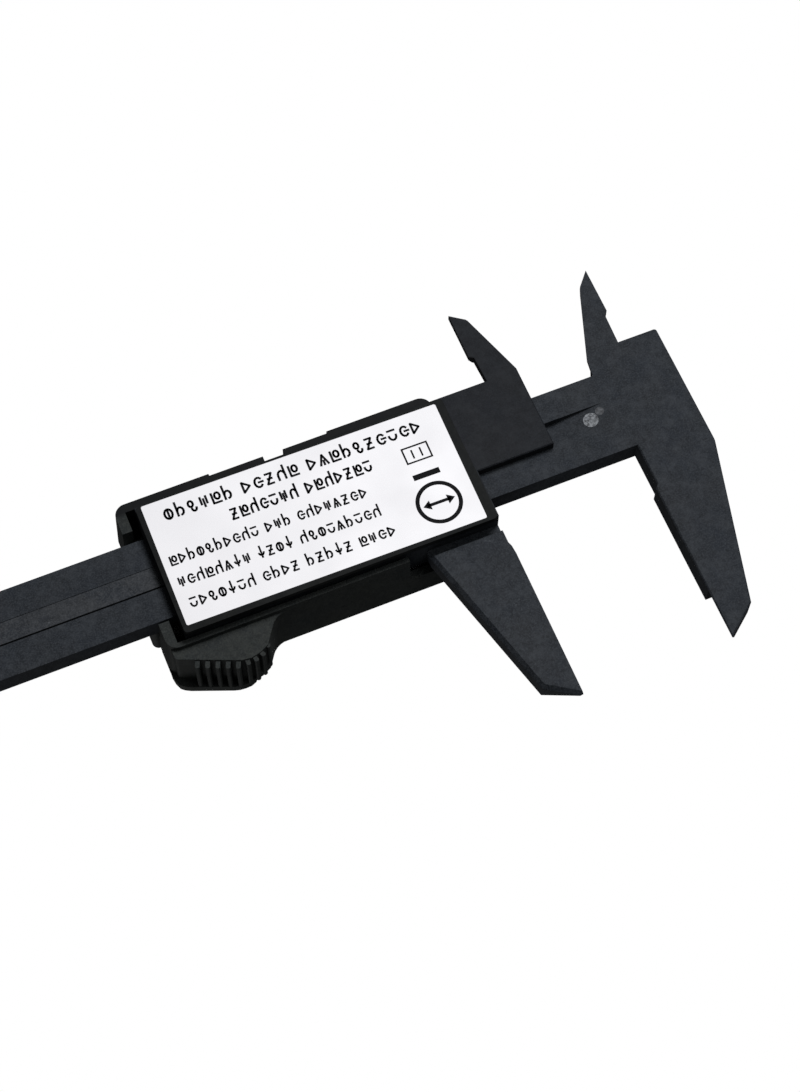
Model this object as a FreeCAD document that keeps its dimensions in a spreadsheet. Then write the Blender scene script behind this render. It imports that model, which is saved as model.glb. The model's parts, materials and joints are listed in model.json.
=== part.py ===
import FreeCAD, Part
import math
import os
from types import SimpleNamespace

import Sketcher
from FreeCAD import Vector

# Digital caliper with moulded plastic jaws, 0 to 150 mm.
# Millimetres. +X runs along the beam from the fixed jaw to the free end, +Y points to the
# inside jaws and +Z to the display. Every piece is drawn with X = 0 at the fixed outside
# measuring face, Y = 0 at the middle of the beam and Z = 0 at the underside of the label that
# the caliper lies on. The slider and all it carries are drawn with the jaws closed, and moved
# by "opening". The whole is then moved so that the origin is under the middle of its box.

SIZES = [
    # alias, value, meaning
    ("opening", 28.0, "gap between the outside jaws as posed"),
    # beam and fixed jaws
    ("beam_width", 16.0, "beam across Y"),
    ("beam_thick", 4.3, "beam along Z"),
    ("beam_back", 3.0, "Z of the beam's back face"),
    ("beam_end", 221.0, "X of the free end of the beam"),
    ("groove_width", 4.3, "depth rod groove across Y"),
    ("groove_deep", 1.6, "depth rod groove along Z"),
    ("groove_start", 1.9, "X where the groove's sloping end starts"),
    ("groove_full", 12.2, "X where the groove reaches its full depth"),
    ("groove_middle", 0.15, "Y of the middle of the groove"),
    ("head_outer", 14.05, "outer side of the fixed head, behind the measuring face"),
    ("head_top", 12.8, "Y of the top of the fixed head"),
    ("head_shoulder", 12.2, "depth below the beam's middle where the fixed jaw starts to taper"),
    ("jaw_tip", 48.15, "depth of the outside jaw tips below the beam's middle"),
    ("jaw_relief", 0.6, "set-back of the jaw beside the measuring pad"),
    ("pad_start", 17.2, "depth where the measuring faces start"),
    ("pad_finish", 38.5, "depth where the flat of the measuring pads ends"),
    ("toe_width", 5.9, "width of the fixed jaw above its slanted tip"),
    ("toe_depth", 43.5, "depth where the slanted tip starts"),
    ("toe_bevel", 1.5, "how far the fixed jaw's toe is thinned at its front"),
    ("inside_edge", 7.25, "distance of the closed inside edges behind the outside faces"),
    ("inside_tip", 29.0, "Y of the inside jaw tips"),
    ("inside_step", 19.6, "Y where the inside edges are set back"),
    ("inside_relief", 0.7, "set-back below the inside edges"),
    ("blade_bevel", 18.0, "degrees that the fixed blade's outer side leans in"),
    ("knife_edge", 0.6, "chamfer that thins the measuring tips"),
    ("jaw_round", 3.0, "radius of the fixed head's corner above the jaw"),
    ("rim_break", 0.25, "chamfer round the fixed head's back"),
    # scale on the beam
    ("strip_width", 13.2, "stator strip across Y"),
    ("strip_start", 4.0, "X where the stator strip starts"),
    ("strip_finish", 219.0, "X where the stator strip ends"),
    ("strip_thick", 0.6, "stator strip along Z"),
    ("film_thick", 0.15, "printed films along Z"),
    # end stop
    ("stop_start", 210.0, "X where the end stop starts"),
    ("stop_thick", 1.6, "end stop along Z"),
    ("stop_screw_x", 215.5, "X of the end stop's screws"),
    ("stop_screw_y", 5.2, "Y of the end stop's screws"),
    # slider frame, closed
    ("frame_start", 0.45, "X of the frame's jaw end"),
    ("frame_finish", 59.3, "X of the frame's free end"),
    ("upper_rail_start", 1.4, "X where the upper rail starts, clear of the fixed blade's root"),
    ("web_back", 1.15, "Z of the frame's back face"),
    ("slide_gap", 0.08, "running gap between beam and frame"),
    ("rail_top", 13.38, "Y of the upper rail's outer side"),
    ("rail_low", 12.3, "depth of the lower rail's outer side"),
    ("rail_front", 8.0, "Z of the front of the rails"),
    ("lip_reach", 1.0, "how far the rails' lips hold the beam's front"),
    ("tongue_edge", 14.4, "how far the tongue passes the measuring face"),
    ("tongue_low", 2.8, "depth of the tongue's lower edge"),
    ("blade_knee", 13.9, "Y where the moving inside jaw starts to taper"),
    ("blade_shoulder_x", 10.15, "distance of the blade's shoulder behind the measuring face"),
    ("blade_shoulder_y", 26.5, "Y of the blade's shoulder"),
    ("blade_tip", 28.6, "Y of the moving inside jaw's tip"),
    ("blade_step", 19.2, "Y where the moving inside edge is set back"),
    ("moving_back", 3.5, "Z of the moving outside jaw's back face"),
    ("moving_thick", 3.6, "moving outside jaw along Z"),
    ("moving_root", 14.2, "width of the moving jaw at its root"),
    ("moving_toe", 6.1, "width of the moving jaw above its tip"),
    ("moving_root_y", 14.4, "depth of the moving jaw's root"),
    ("moving_toe_y", 44.1, "depth where the moving jaw's slanted tip starts"),
    ("moving_bevel", 6.1, "how far the moving jaw's toe is thinned at its front"),
    ("moving_edge", 0.7, "chamfer round the moving jaw's back"),
    ("root_top", 14.2, "depth where the moving jaw's back face starts"),
    ("root_step", 1.5, "step down from the moving jaw's back face to its root"),
    # back plate and label
    ("plate_thick", 1.0, "back plate along Z"),
    ("plate_start", 0.9, "X of the back plate's jaw end"),
    ("plate_low", 13.0, "depth of the back plate's lower edge"),
    ("plate_top", 12.85, "Y of the back plate's upper edge"),
    ("plate_round", 0.8, "corner radius of the back plate"),
    ("label_long", 55.8, "label along X"),
    ("label_high", 24.4, "label along Y"),
    ("label_middle_x", 30.5, "X of the label's middle"),
    ("label_middle_y", 0.13, "Y of the label's middle"),
    ("label_skew", 0.6, "degrees that the label is stuck on askew"),
    # housing, closed
    ("case_start", 2.4, "X of the housing's jaw end at its rim"),
    ("case_finish", 62.8, "X of the housing's free end at its rim"),
    ("case_low", 13.8, "depth of the housing's lower side at its rim"),
    ("case_top", 15.75, "Y of the housing's upper side at its rim"),
    ("hold_top", 15.35, "Y of the shallow finger hold in the upper side"),
    ("hold_start", 22.0, "X where the finger hold starts"),
    ("hold_finish", 44.6, "X where the finger hold ends"),
    ("end_lean", 0.45, "how far the free end leans out at the front"),
    ("end_way_top", 10.2, "Y of the upper side of the beam's way through the free end"),
    ("end_way_front", 8.3, "Z of the front of the beam's way"),
    ("jaw_way_front", 9.4, "Z of the front of the moving jaw's way"),
    ("case_back", 3.0, "Z of the housing's rim"),
    ("case_front", 15.5, "Z of the housing's front face"),
    ("case_draft", 5.2, "degrees that the sides lean out"),
    ("case_wall", 1.5, "front wall along Z"),
    ("inner_start", 3.9, "X of the inside of the housing's jaw end"),
    ("inner_finish", 60.9, "X of the inside of the housing's free end"),
    ("inner_low", 12.85, "depth of the inside of the lower side"),
    ("inner_top", 14.1, "Y of the inside of the upper side"),
    ("corner_round", 2.2, "radius of the housing's corners"),
    ("front_round", 0.9, "radius round the housing's front"),
    ("notch_start", 30.6, "X where the notch in the upper rim starts"),
    ("notch_finish", 34.4, "X where the notch in the upper rim ends"),
    ("notch_deep", 2.0, "notch along Z"),
    # thumb grip
    ("grip_back", 4.0, "Z of the grip's back"),
    ("grip_front", 14.6, "Z of the grip's front"),
    ("grip_reach", 19.9, "depth of the grip's lowest corner below the ribs"),
    ("lip_back", 12.8, "Z where the grip's smooth front lip starts"),
    ("grip_sweep", 4.0, "hollow radius where the housing's side sweeps into the grip"),
    ("sweep_turn", 55.0, "degrees that the hollow turns through"),
    ("rib_width", 0.8, "width of a grip rib"),
    ("rib_deep", 1.45, "how far the deepest ribs stand out"),
    ("rib_pitch", 1.77, "step from rib to rib"),
    # fastening from the back
    ("screw_near", 7.5, "X of the cover screws at the jaw end"),
    ("screw_far", 56.5, "X of the cover screws at the free end"),
    ("screw_y", 10.2, "Y of the cover screws"),
    ("screw_radius", 0.75, "screw shank radius"),
    ("screw_head", 1.5, "screw head radius"),
    ("screw_long", 11.5, "cover screw length"),
    ("post_radius", 1.6, "radius of the posts that take the screws"),
    # depth rod
    ("rod_width", 3.9, "depth rod across Y"),
    ("rod_thick", 1.35, "depth rod along Z"),
    ("rod_start", 12.6, "X of the depth rod's root, closed"),
    ("rod_tip_width", 2.0, "width of the depth rod's tip"),
    ("rod_tip_long", 4.0, "length of the depth rod's narrowed tip"),
    ("rod_boss", 1.2, "radius of the rod's boss"),
    ("rod_rise", 0.16, "how far the rod lies above the groove's middle"),
    ("rod_boss_x", 15.5, "X of the rod's boss, closed"),
    ("rod_screw", 0.6, "radius of the rod's screw"),
    ("rod_seat", 0.8, "depth of the screw head's seat in the frame"),
    # gib
    ("gib_start", 14.0, "X where the gib starts"),
    ("gib_finish", 50.0, "X where the gib ends"),
    ("gib_thick", 0.9, "gib across Y"),
    ("gib_pocket", 2.0, "depth of the gib's pocket in the rail"),
    ("gib_back", 3.7, "Z of the gib's back"),
    ("gib_front", 6.9, "Z of the gib's front"),
    # electronics
    ("board_start", 4.3, "X where the circuit board starts"),
    ("board_finish", 44.4, "X where the circuit board ends"),
    ("board_low", 11.7, "depth of the board's lower edge"),
    ("board_top", 13.2, "Y of the board's upper edge"),
    ("board_thick", 1.0, "circuit board along Z"),
    ("glass_start", 12.0, "X where the display glass starts"),
    ("glass_finish", 42.0, "X where the display glass ends"),
    ("glass_low", 2.0, "depth of the display glass's lower edge"),
    ("glass_top", 12.0, "Y of the display glass's upper edge"),
    ("glass_back", 11.9, "Z of the display glass's back"),
    ("glass_thick", 2.0, "display glass along Z"),
    ("holder_wall", 0.9, "wall of the display holder"),
    ("window_margin", 0.8, "how far the window passes the glass"),
    ("view_margin", 1.0, "how far the view stays inside the glass"),
    ("window_thick", 0.8, "clear window along Z"),
    ("overlay_start", 8.4, "X where the front film starts"),
    ("overlay_finish", 44.3, "X where the front film ends"),
    ("overlay_low", 12.0, "depth of the front film's lower edge"),
    ("overlay_top", 14.0, "Y of the front film's upper edge"),
    ("overlay_thick", 0.2, "front film along Z"),
    # buttons
    ("button_first", 13.8, "X of the first button"),
    ("button_step", 12.0, "distance between the buttons"),
    ("button_y", 8.3, "depth of the buttons' middle"),
    ("button_long", 7.0, "button along X"),
    ("button_high", 3.8, "button along Y"),
    ("button_gap", 0.15, "gap round a button"),
    ("button_proud", 0.45, "how far a button stands out"),
    ("button_travel", 0.45, "how far a button can be pressed"),
    ("button_flange", 0.6, "flange that keeps a button in"),
    ("dome_high", 0.4, "contact dome along Z"),
    # battery
    ("cell_middle", 53.1, "X of the battery's middle"),
    ("cell_radius", 5.8, "battery radius"),
    ("cell_high", 5.3, "battery along Z"),
    ("cell_back", 8.6, "Z of the battery's back"),
    ("tray_half", 7.1, "half the battery tray's width"),
    ("tray_floor", 0.4, "floor of the battery tray"),
    ("contact_thick", 0.2, "battery contacts' sheet"),
    ("door_start", 45.5, "X where the battery door starts"),
    ("door_finish", 64.3, "X where the battery door ends"),
    ("door_half", 7.5, "half the battery door's width"),
    ("door_lip", 1.7, "the door's end lip along X"),
    ("door_lip_back", 8.45, "Z of the lip's lower edge"),
    ("door_tongue", 0.8, "how far the door's tongues stick out"),
    ("tongue_up", 0.2, "height of the tongues above the housing's inner face"),
    ("tongue_thick", 0.6, "door tongues along Z"),
    ("door_gap", 0.12, "gap round the battery door"),
]


class Size:
    """A size that knows its number and the sheet expression that gives it."""

    def __init__(self, value, text):
        self.value = value
        self.text = text

    def joined(self, sign, other, value):
        return Size(value, "(%s %s %s)" % (self.text, sign, other.text))

    def __add__(self, other):
        other = as_size(other)
        return self.joined("+", other, self.value + other.value)

    def __sub__(self, other):
        other = as_size(other)
        return self.joined("-", other, self.value - other.value)

    def __mul__(self, other):
        other = as_size(other)
        return self.joined("*", other, self.value * other.value)

    def __truediv__(self, other):
        other = as_size(other)
        return self.joined("/", other, self.value / other.value)

    def __neg__(self):
        return Size(-self.value, "(0 - %s)" % self.text)


def as_size(number):
    if isinstance(number, Size):
        return number
    return Size(float(number), "%.6f" % number)


def tangent(angle):
    """Tangent of a size in degrees."""
    return Size(math.tan(math.radians(angle.value)), "tan(%s)" % angle.text)


def make_sheet(doc):
    """Write every size into the sheet and return the sizes by name."""
    sheet = doc.addObject("Spreadsheet::Sheet", "Sizes")
    named = {}
    for row, (alias, value, meaning) in enumerate(SIZES, start=1):
        sheet.set("A%d" % row, meaning)
        sheet.set("B%d" % row, str(value))
        sheet.setAlias("B%d" % row, alias)
        named[alias] = Size(value, "Sizes.%s" % alias)
    return SimpleNamespace(**named)


doc = FreeCAD.newDocument("DigitalCaliper")
s = make_sheet(doc)
doc.recompute()

# the rod's tip and the fixed head end the whole along X, the jaws' tips along Y
middle_x = (s.beam_end + s.opening - s.head_outer) / 2
middle_y = (s.inside_tip - s.jaw_tip) / 2

pieces = []
ON_SLIDER = True


# ---------------------------------------------------------------- drawing helpers

def new_body(label, on_slider=False):
    """A named body, which moves with the jaw opening when the slider carries it."""
    body = doc.addObject("PartDesign::Body", label)
    body.Label = label
    place(body, 0.0, 0.0, 0.0, on_slider)
    pieces.append(body)
    return body


def place(item, x, y, z, on_slider):
    """Bind where an item lies in the whole."""
    x = as_size(x) - middle_x
    if on_slider:
        x = x + s.opening
    for axis, size in zip("xyz", (x, as_size(y) - middle_y, as_size(z))):
        item.setExpression(".Placement.Base." + axis, size.text)


def new_sketch(body, level=0.0, plane="XY_Plane"):
    """A sketch on one of the body's own planes, raised to a level along its normal."""
    sketch = body.newObject("Sketcher::SketchObject", body.Name + "Sketch")
    support = [part for part in body.Origin.OriginFeatures if part.Role == plane][0]
    sketch.AttachmentSupport = [(support, "")]
    sketch.MapMode = "FlatFace"
    sketch.setExpression(".AttachmentOffset.Base.z", as_size(level).text)
    return sketch


def fix_point(sketch, geometry, end, point):
    """Hold one end of a line or a circle's centre at a point of named sizes."""
    for kind, size in zip(("DistanceX", "DistanceY"), point):
        size = as_size(size)
        rule = Sketcher.Constraint(kind, -1, 1, geometry, end, size.value)
        index = sketch.addConstraint(rule)
        sketch.setExpression("Constraints[%d]" % index, size.text)


def draw_outline(sketch, points):
    """Closed outline of straight lines through points of named sizes."""
    places = [Vector(as_size(x).value, as_size(y).value, 0) for x, y in points]
    lines = []
    for place, following in zip(places, places[1:] + places[:1]):
        lines.append(sketch.addGeometry(Part.LineSegment(place, following), False))
    for line, following in zip(lines, lines[1:] + lines[:1]):
        sketch.addConstraint(Sketcher.Constraint("Coincident", line, 2, following, 1))
    for line, point in zip(lines, points):
        fix_point(sketch, line, 1, point)


def draw_rectangle(sketch, x_low, x_high, y_low, y_high):
    draw_outline(sketch, [(x_low, y_low), (x_high, y_low), (x_high, y_high), (x_low, y_high)])


def draw_circle(sketch, x, y, radius):
    centre = Vector(as_size(x).value, as_size(y).value, 0)
    circle = Part.Circle(centre, Vector(0, 0, 1), as_size(radius).value)
    geometry = sketch.addGeometry(circle, False)
    rule = Sketcher.Constraint("Radius", geometry, as_size(radius).value)
    index = sketch.addConstraint(rule)
    sketch.setExpression("Constraints[%d]" % index, as_size(radius).text)
    fix_point(sketch, geometry, 3, (x, y))


def raise_pad(body, sketch, thick, taper=None):
    pad = body.newObject("PartDesign::Pad", body.Name + "Pad")
    pad.Profile = sketch
    pad.setExpression("Length", as_size(thick).text)
    if taper is not None:
        pad.setExpression("TaperAngle", taper.text)
    doc.recompute()
    return pad


def cut_pocket(body, sketch, deep, taper=None):
    """Cut from the sketch's level along its normal, with sides that open out if there's a taper."""
    before = body.Shape.Volume
    pocket = body.newObject("PartDesign::Pocket", body.Name + "Pocket")
    pocket.Profile = sketch
    pocket.setExpression("Length", as_size(deep).text)
    pocket.Reversed = True
    if taper is not None:
        pocket.setExpression("TaperAngle", taper.text)
    doc.recompute()
    if body.Shape.Volume > before - 1e-6:
        raise RuntimeError("a pocket in %s cuts nothing" % body.Label)
    return pocket


def pad_rectangle(body, xs, ys, level, thick):
    sketch = new_sketch(body, level)
    draw_rectangle(sketch, xs[0], xs[1], ys[0], ys[1])
    return raise_pad(body, sketch, thick)


def cut_rectangle(body, xs, ys, level, deep):
    sketch = new_sketch(body, level)
    draw_rectangle(sketch, xs[0], xs[1], ys[0], ys[1])
    return cut_pocket(body, sketch, deep)


def cut_circles(body, places, radius, level, deep):
    sketch = new_sketch(body, level)
    for x, y in places:
        draw_circle(sketch, x, y, radius)
    return cut_pocket(body, sketch, deep)


def edge_names(body, wanted):
    """Names of the tip's edges that the test picks."""
    found = []
    for number, edge in enumerate(body.Tip.Shape.Edges, start=1):
        if wanted(edge):
            found.append("Edge%d" % number)
    if not found:
        raise RuntimeError("no edge found in %s" % body.Label)
    return found


def is_upright(edge, lean=0.15):
    """Whether an edge is straight and about parallel to Z."""
    if len(edge.Vertexes) != 2:
        return False
    run = edge.Vertexes[1].Point - edge.Vertexes[0].Point
    return run.Length > 0.1 and math.hypot(run.x, run.y) <= lean * run.Length


def near_corner(edge, corners, reach=1.6):
    middle = edge.CenterOfMass
    for x, y in corners:
        if math.hypot(middle.x - as_size(x).value, middle.y - as_size(y).value) < reach:
            return True
    return False


def dress(body, kind, names, size):
    """A Fillet or a Chamfer on named edges of the tip."""
    base = body.Tip
    feature = body.newObject("PartDesign::%s" % kind, body.Name + kind)
    feature.Base = (base, names)
    prop = "Radius" if kind == "Fillet" else "Size"
    feature.setExpression(prop, as_size(size).text)
    doc.recompute()
    return feature


def round_uprights(body, corners, radius, reach=1.6):
    names = edge_names(body, lambda edge: is_upright(edge) and near_corner(edge, corners, reach))
    return dress(body, "Fillet", names, radius)


def level_edges(body, level, test=None):
    """Names of the edges that lie flat at one level."""
    height = as_size(level).value

    def wanted(edge):
        flat = all(abs(vertex.Z - height) < 1e-4 for vertex in edge.Vertexes)
        flat = flat and abs(edge.CenterOfMass.z - height) < 1e-4
        return flat and (test is None or test(edge.CenterOfMass))

    return edge_names(body, wanted)


def slab(label, xs, ys, level, thick, on_slider=False, radius=None):
    """A flat piece with straight sides, and rounded corners if a radius is given."""
    body = new_body(label, on_slider)
    pad_rectangle(body, xs, ys, level, thick)
    if radius is not None:
        corners = [(x, y) for x in xs for y in ys]
        round_uprights(body, corners, radius)
    return body


def primitive(kind, name, on_slider, spot, **sizes):
    """A Part primitive at a spot of named sizes."""
    solid = doc.addObject("Part::" + kind, name)
    for prop, size in sizes.items():
        solid.setExpression(prop, as_size(size).text)
    place(solid, spot[0], spot[1], spot[2], on_slider)
    return solid


def group(label, solids):
    """Identical small pieces kept together as one named group."""
    compound = doc.addObject("Part::Compound", label)
    compound.Label = label
    compound.Links = solids
    pieces.append(compound)
    return compound


def countersunk_screw(name, on_slider, x, y, level, head_high, long):
    """A screw whose flat head is at the level and whose shank points to +Z."""
    head = primitive("Cone", name + "Head", on_slider, (x, y, level),
                     Radius1=s.screw_head, Radius2=s.screw_radius, Height=head_high)
    shank = primitive("Cylinder", name + "Shank", on_slider, (x, y, level),
                      Radius=s.screw_radius, Height=long)
    screw = doc.addObject("Part::MultiFuse", name)
    screw.Shapes = [head, shank]
    return screw


def cut_countersinks(body, places, level, head_high):
    """Conical seats that open at the level and narrow towards +Z."""
    before = body.Shape.Volume
    for x, y in places:
        seat = body.newObject("PartDesign::SubtractiveCone", body.Name + "Seat")
        seat.setExpression("Radius1", (s.screw_head + 0.02).text)
        seat.setExpression("Radius2", (s.screw_radius + 0.02).text)
        seat.setExpression("Height", as_size(head_high).text)
        for axis, size in zip("xyz", (x, y, level)):
            seat.setExpression(".AttachmentOffset.Base." + axis, as_size(size).text)
        support = [part for part in body.Origin.OriginFeatures if part.Role == "XY_Plane"][0]
        seat.AttachmentSupport = [(support, "")]
        seat.MapMode = "FlatFace"
        body.Tip = seat
    doc.recompute()
    if body.Shape.Volume > before - 1e-6:
        raise RuntimeError("the countersinks in %s cut nothing" % body.Label)


# ---------------------------------------------------------------- shared places

half_beam = s.beam_width / 2
beam_front = s.beam_back + s.beam_thick
rail_inner = half_beam + s.slide_gap
web_front = s.beam_back - s.slide_gap
inner_front = s.case_front - s.case_wall
board_front = s.rail_front + s.board_thick
screw_places = [(x, y) for x in (s.screw_near, s.screw_far) for y in (s.screw_y, -s.screw_y)]
screw_clear = s.screw_radius + 0.1
stop_screw_places = [(s.stop_screw_x, s.stop_screw_y), (s.stop_screw_x, -s.stop_screw_y)]
button_places = [(s.button_first + s.button_step * number, -s.button_y) for number in range(3)]


# ---------------------------------------------------------------- beam and what it carries

def make_beam():
    """Beam, fixed head and both fixed jaws, moulded in one piece."""
    body = new_body("beam")
    outline = new_sketch(body, s.beam_back)
    draw_outline(outline, [
        (-s.jaw_relief, -half_beam),
        (-s.jaw_relief, s.jaw_relief - s.pad_start),
        (0.0, -s.pad_start),
        (0.0, -s.jaw_tip),
        (-s.toe_width, -s.toe_depth),
        (-s.head_outer, -s.head_shoulder),
        (-s.head_outer, s.head_top),
        (-s.inside_edge + 0.9, s.head_top),
        (-s.inside_edge + s.inside_relief, s.inside_step - s.inside_relief),
        (-s.inside_edge, s.inside_step),
        (-s.inside_edge, s.inside_tip),
        (-s.inside_edge + 2.4, s.inside_tip - 2.8),
        (-s.inside_edge + 3.1, s.inside_tip - 4.4),
        (0.5, half_beam + 3.3),
        (0.9, half_beam),
        (s.beam_end, half_beam),
        (s.beam_end, -half_beam),
    ])
    raise_pad(body, outline, s.beam_thick)
    round_uprights(body, [(-s.head_outer, s.head_top), (-s.toe_width, -s.toe_depth)], 0.5)
    round_uprights(body, [(s.beam_end, half_beam), (s.beam_end, -half_beam)], 1.0)
    round_uprights(body, [(-s.head_outer, -s.head_shoulder)], s.jaw_round)

    groove_low = s.groove_middle - s.groove_width / 2
    groove_high = s.groove_middle + s.groove_width / 2
    past_end = s.beam_end + 1
    cut_rectangle(body, (s.groove_full, past_end), (groove_low, groove_high),
                  s.beam_back, s.groove_deep)
    ramp = new_sketch(body, -groove_high, "XZ_Plane")
    draw_outline(ramp, [
        (s.groove_start, s.beam_back),
        (s.groove_full + 0.5, s.beam_back),
        (s.groove_full + 0.5, s.beam_back + s.groove_deep),
        (s.groove_full, s.beam_back + s.groove_deep),
    ])
    cut_pocket(body, ramp, s.groove_width)
    cut_toe_bevel(body, s.beam_back + 0.4, beam_front, -s.toe_bevel)
    strip_deep = s.strip_thick + s.film_thick
    half_strip = s.strip_width / 2 + 0.1
    cut_rectangle(body, (s.strip_start - 0.1, s.strip_finish + 0.1), (-half_strip, half_strip),
                  beam_front - strip_deep, strip_deep)
    cut_circles(body, stop_screw_places, s.screw_radius, s.beam_back, 3.0)

    # the inside blade is thinned to a knife edge at the front, from both sides
    def on_knife_edge(point):
        return point.y > s.inside_step.value and abs(point.x + s.inside_edge.value) < 0.1

    dress(body, "Chamfer", level_edges(body, beam_front, on_knife_edge), s.knife_edge)
    bevel_back = s.beam_back + 0.5
    above_beam = half_beam + 1.3
    above_kink = half_beam + 3.3
    beside_root = [
        (0.76, above_beam),
        (4.0, above_beam),
        (4.0, above_kink),
        (0.5, above_kink),
    ]
    beside_blade = [
        (0.5, above_kink),
        (4.0, above_kink),
        (0.0, s.inside_tip + 0.5),
        (-s.inside_edge + 1.4, s.inside_tip + 0.5),
    ]
    for outline in (beside_blade, beside_root):
        sketch = new_sketch(body, bevel_back)
        draw_outline(sketch, outline)
        cut_pocket(body, sketch, beam_front - bevel_back, taper=s.blade_bevel)

    def on_back_rim(point):
        on_head = point.x < -0.4 and point.y < s.head_top.value + 0.1
        on_pad = abs(point.x) < 0.1 and -s.pad_finish.value < point.y < -s.pad_start.value
        return on_head or on_pad

    dress(body, "Chamfer", level_edges(body, s.beam_back, on_back_rim), s.rim_break)
    return body


def cut_toe_bevel(body, back, front, reach):
    """Thin a jaw's toe from its measuring side, by reach into the jaw at the front."""
    start = s.pad_finish + 0.1
    wedge = new_sketch(body, start, "XZ_Plane")
    outside = -1.0 if reach.value > 0 else 1.0
    draw_outline(wedge, [
        (0.0, back),
        (outside, back),
        (outside, front + 1.0),
        (reach + reach / (front - back), front + 1.0),
    ])
    cut_pocket(body, wedge, s.jaw_tip - start + 1.0)


def make_scale():
    """Sensing strip glued into the beam's front, and the printed film over it."""
    half_strip = s.strip_width / 2
    xs = (s.strip_start, s.strip_finish)
    ys = (-half_strip, half_strip)
    strip_level = beam_front - s.strip_thick - s.film_thick
    slab("stator_strip", xs, ys, strip_level, s.strip_thick)
    slab("scale_film", xs, ys, beam_front - s.film_thick, s.film_thick)


def make_end_stop():
    """Plate across the groove at the beam's free end, and its two screws."""
    level = s.beam_back - s.stop_thick
    body = slab("end_stop", (s.stop_start, s.beam_end), (-half_beam, half_beam), level,
                s.stop_thick, radius=1.0)
    cut_circles(body, stop_screw_places, screw_clear, level, s.stop_thick)
    cut_countersinks(body, stop_screw_places, level, 0.8)
    screws = []
    for number, (x, y) in enumerate(stop_screw_places):
        name = "StopScrew%d" % number
        screws.append(countersunk_screw(name, False, x, y, level, 0.8, 4.4))
    group("end_stop_screws", screws)


# ---------------------------------------------------------------- slider frame

def make_slider_frame():
    """Channel that runs on the beam, with the moving jaws."""
    body = new_body("slider_frame", ON_SLIDER)
    blade_root = new_sketch(body, s.web_back)
    draw_outline(blade_root, [
        (s.frame_finish, s.rail_top),
        (-s.inside_edge - 1.1, s.rail_top),
        (-s.inside_edge - 0.85, s.blade_step - 0.5),
        (-s.inside_edge, s.blade_step),
        (-s.inside_edge, s.blade_tip),
        (-s.blade_shoulder_x, s.blade_shoulder_y),
        (-s.tongue_edge, s.blade_knee),
        (-s.tongue_edge, -s.tongue_low),
        (s.frame_start, -s.tongue_low),
        (s.frame_start, -s.rail_low),
        (s.frame_finish, -s.rail_low),
    ])
    raise_pad(body, blade_root, web_front - s.web_back)

    upper_xs = (s.upper_rail_start, s.frame_finish)
    lower_xs = (s.frame_start, s.frame_finish)
    rail_high = s.rail_front - web_front
    pad_rectangle(body, upper_xs, (rail_inner, s.rail_top), web_front, rail_high)
    pad_rectangle(body, lower_xs, (-s.rail_low, -rail_inner), web_front, rail_high)
    lip_level = beam_front + s.slide_gap
    lip_high = s.rail_front - lip_level
    lip_inner = half_beam - s.lip_reach
    pad_rectangle(body, upper_xs, (lip_inner, rail_inner + 0.5), lip_level, lip_high)
    pad_rectangle(body, lower_xs, (-rail_inner - 0.5, -lip_inner), lip_level, lip_high)

    wall_high = s.jaw_way_front - 0.05 - s.rail_front
    pad_rectangle(body, (s.frame_start, s.moving_root + 4.2), (-s.rail_low, -s.rail_low + 0.45),
                  s.rail_front, wall_high)

    jaw = new_sketch(body, s.moving_back)
    draw_outline(jaw, [
        (s.frame_start, -s.rail_low + 1.0),
        (s.frame_start, -s.pad_start + 1.2),
        (0.0, -s.pad_start),
        (0.0, -s.jaw_tip),
        (s.moving_toe, -s.moving_toe_y),
        (s.moving_root, -s.moving_root_y),
        (s.moving_root, -s.rail_low + 1.0),
    ])
    raise_pad(body, jaw, s.moving_thick)
    cut_toe_bevel(body, s.moving_back + 0.4, s.moving_back + s.moving_thick, s.moving_bevel)

    cut_rectangle(body, (s.gib_start, s.gib_finish), (rail_inner, rail_inner + s.gib_pocket),
                  s.gib_back, s.gib_front - s.gib_back)
    cut_circles(body, screw_places, screw_clear, s.web_back, s.rail_front - s.web_back)
    boss_place = [(s.rod_boss_x, s.groove_middle)]
    cut_circles(body, boss_place, s.rod_boss + 0.05, s.web_back, web_front - s.web_back)
    cut_circles(body, boss_place, s.screw_head + 0.1, s.web_back, s.rod_seat)

    def on_blade_edge(point):
        return abs(point.x + s.inside_edge.value) < 0.1 and point.y > s.blade_step.value

    dress(body, "Chamfer", level_edges(body, web_front, on_blade_edge), s.knife_edge)

    def on_jaw_rim(point):
        return point.y < -s.moving_root_y.value - 1.0 and point.x > 0.1

    dress(body, "Chamfer", level_edges(body, s.moving_back, on_jaw_rim), s.moving_edge)
    cut_rectangle(body, (s.frame_start - 1.0, s.moving_root + 1.0), (-s.root_top, -s.rail_low),
                  s.moving_back, s.root_step)

    def on_tongue_rim(point):
        on_end = point.x < -s.blade_shoulder_x.value + 0.5
        on_low_side = abs(point.y + s.tongue_low.value) < 0.1
        return on_end or on_low_side

    dress(body, "Chamfer", level_edges(body, s.web_back, on_tongue_rim), 0.2)
    return body


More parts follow.
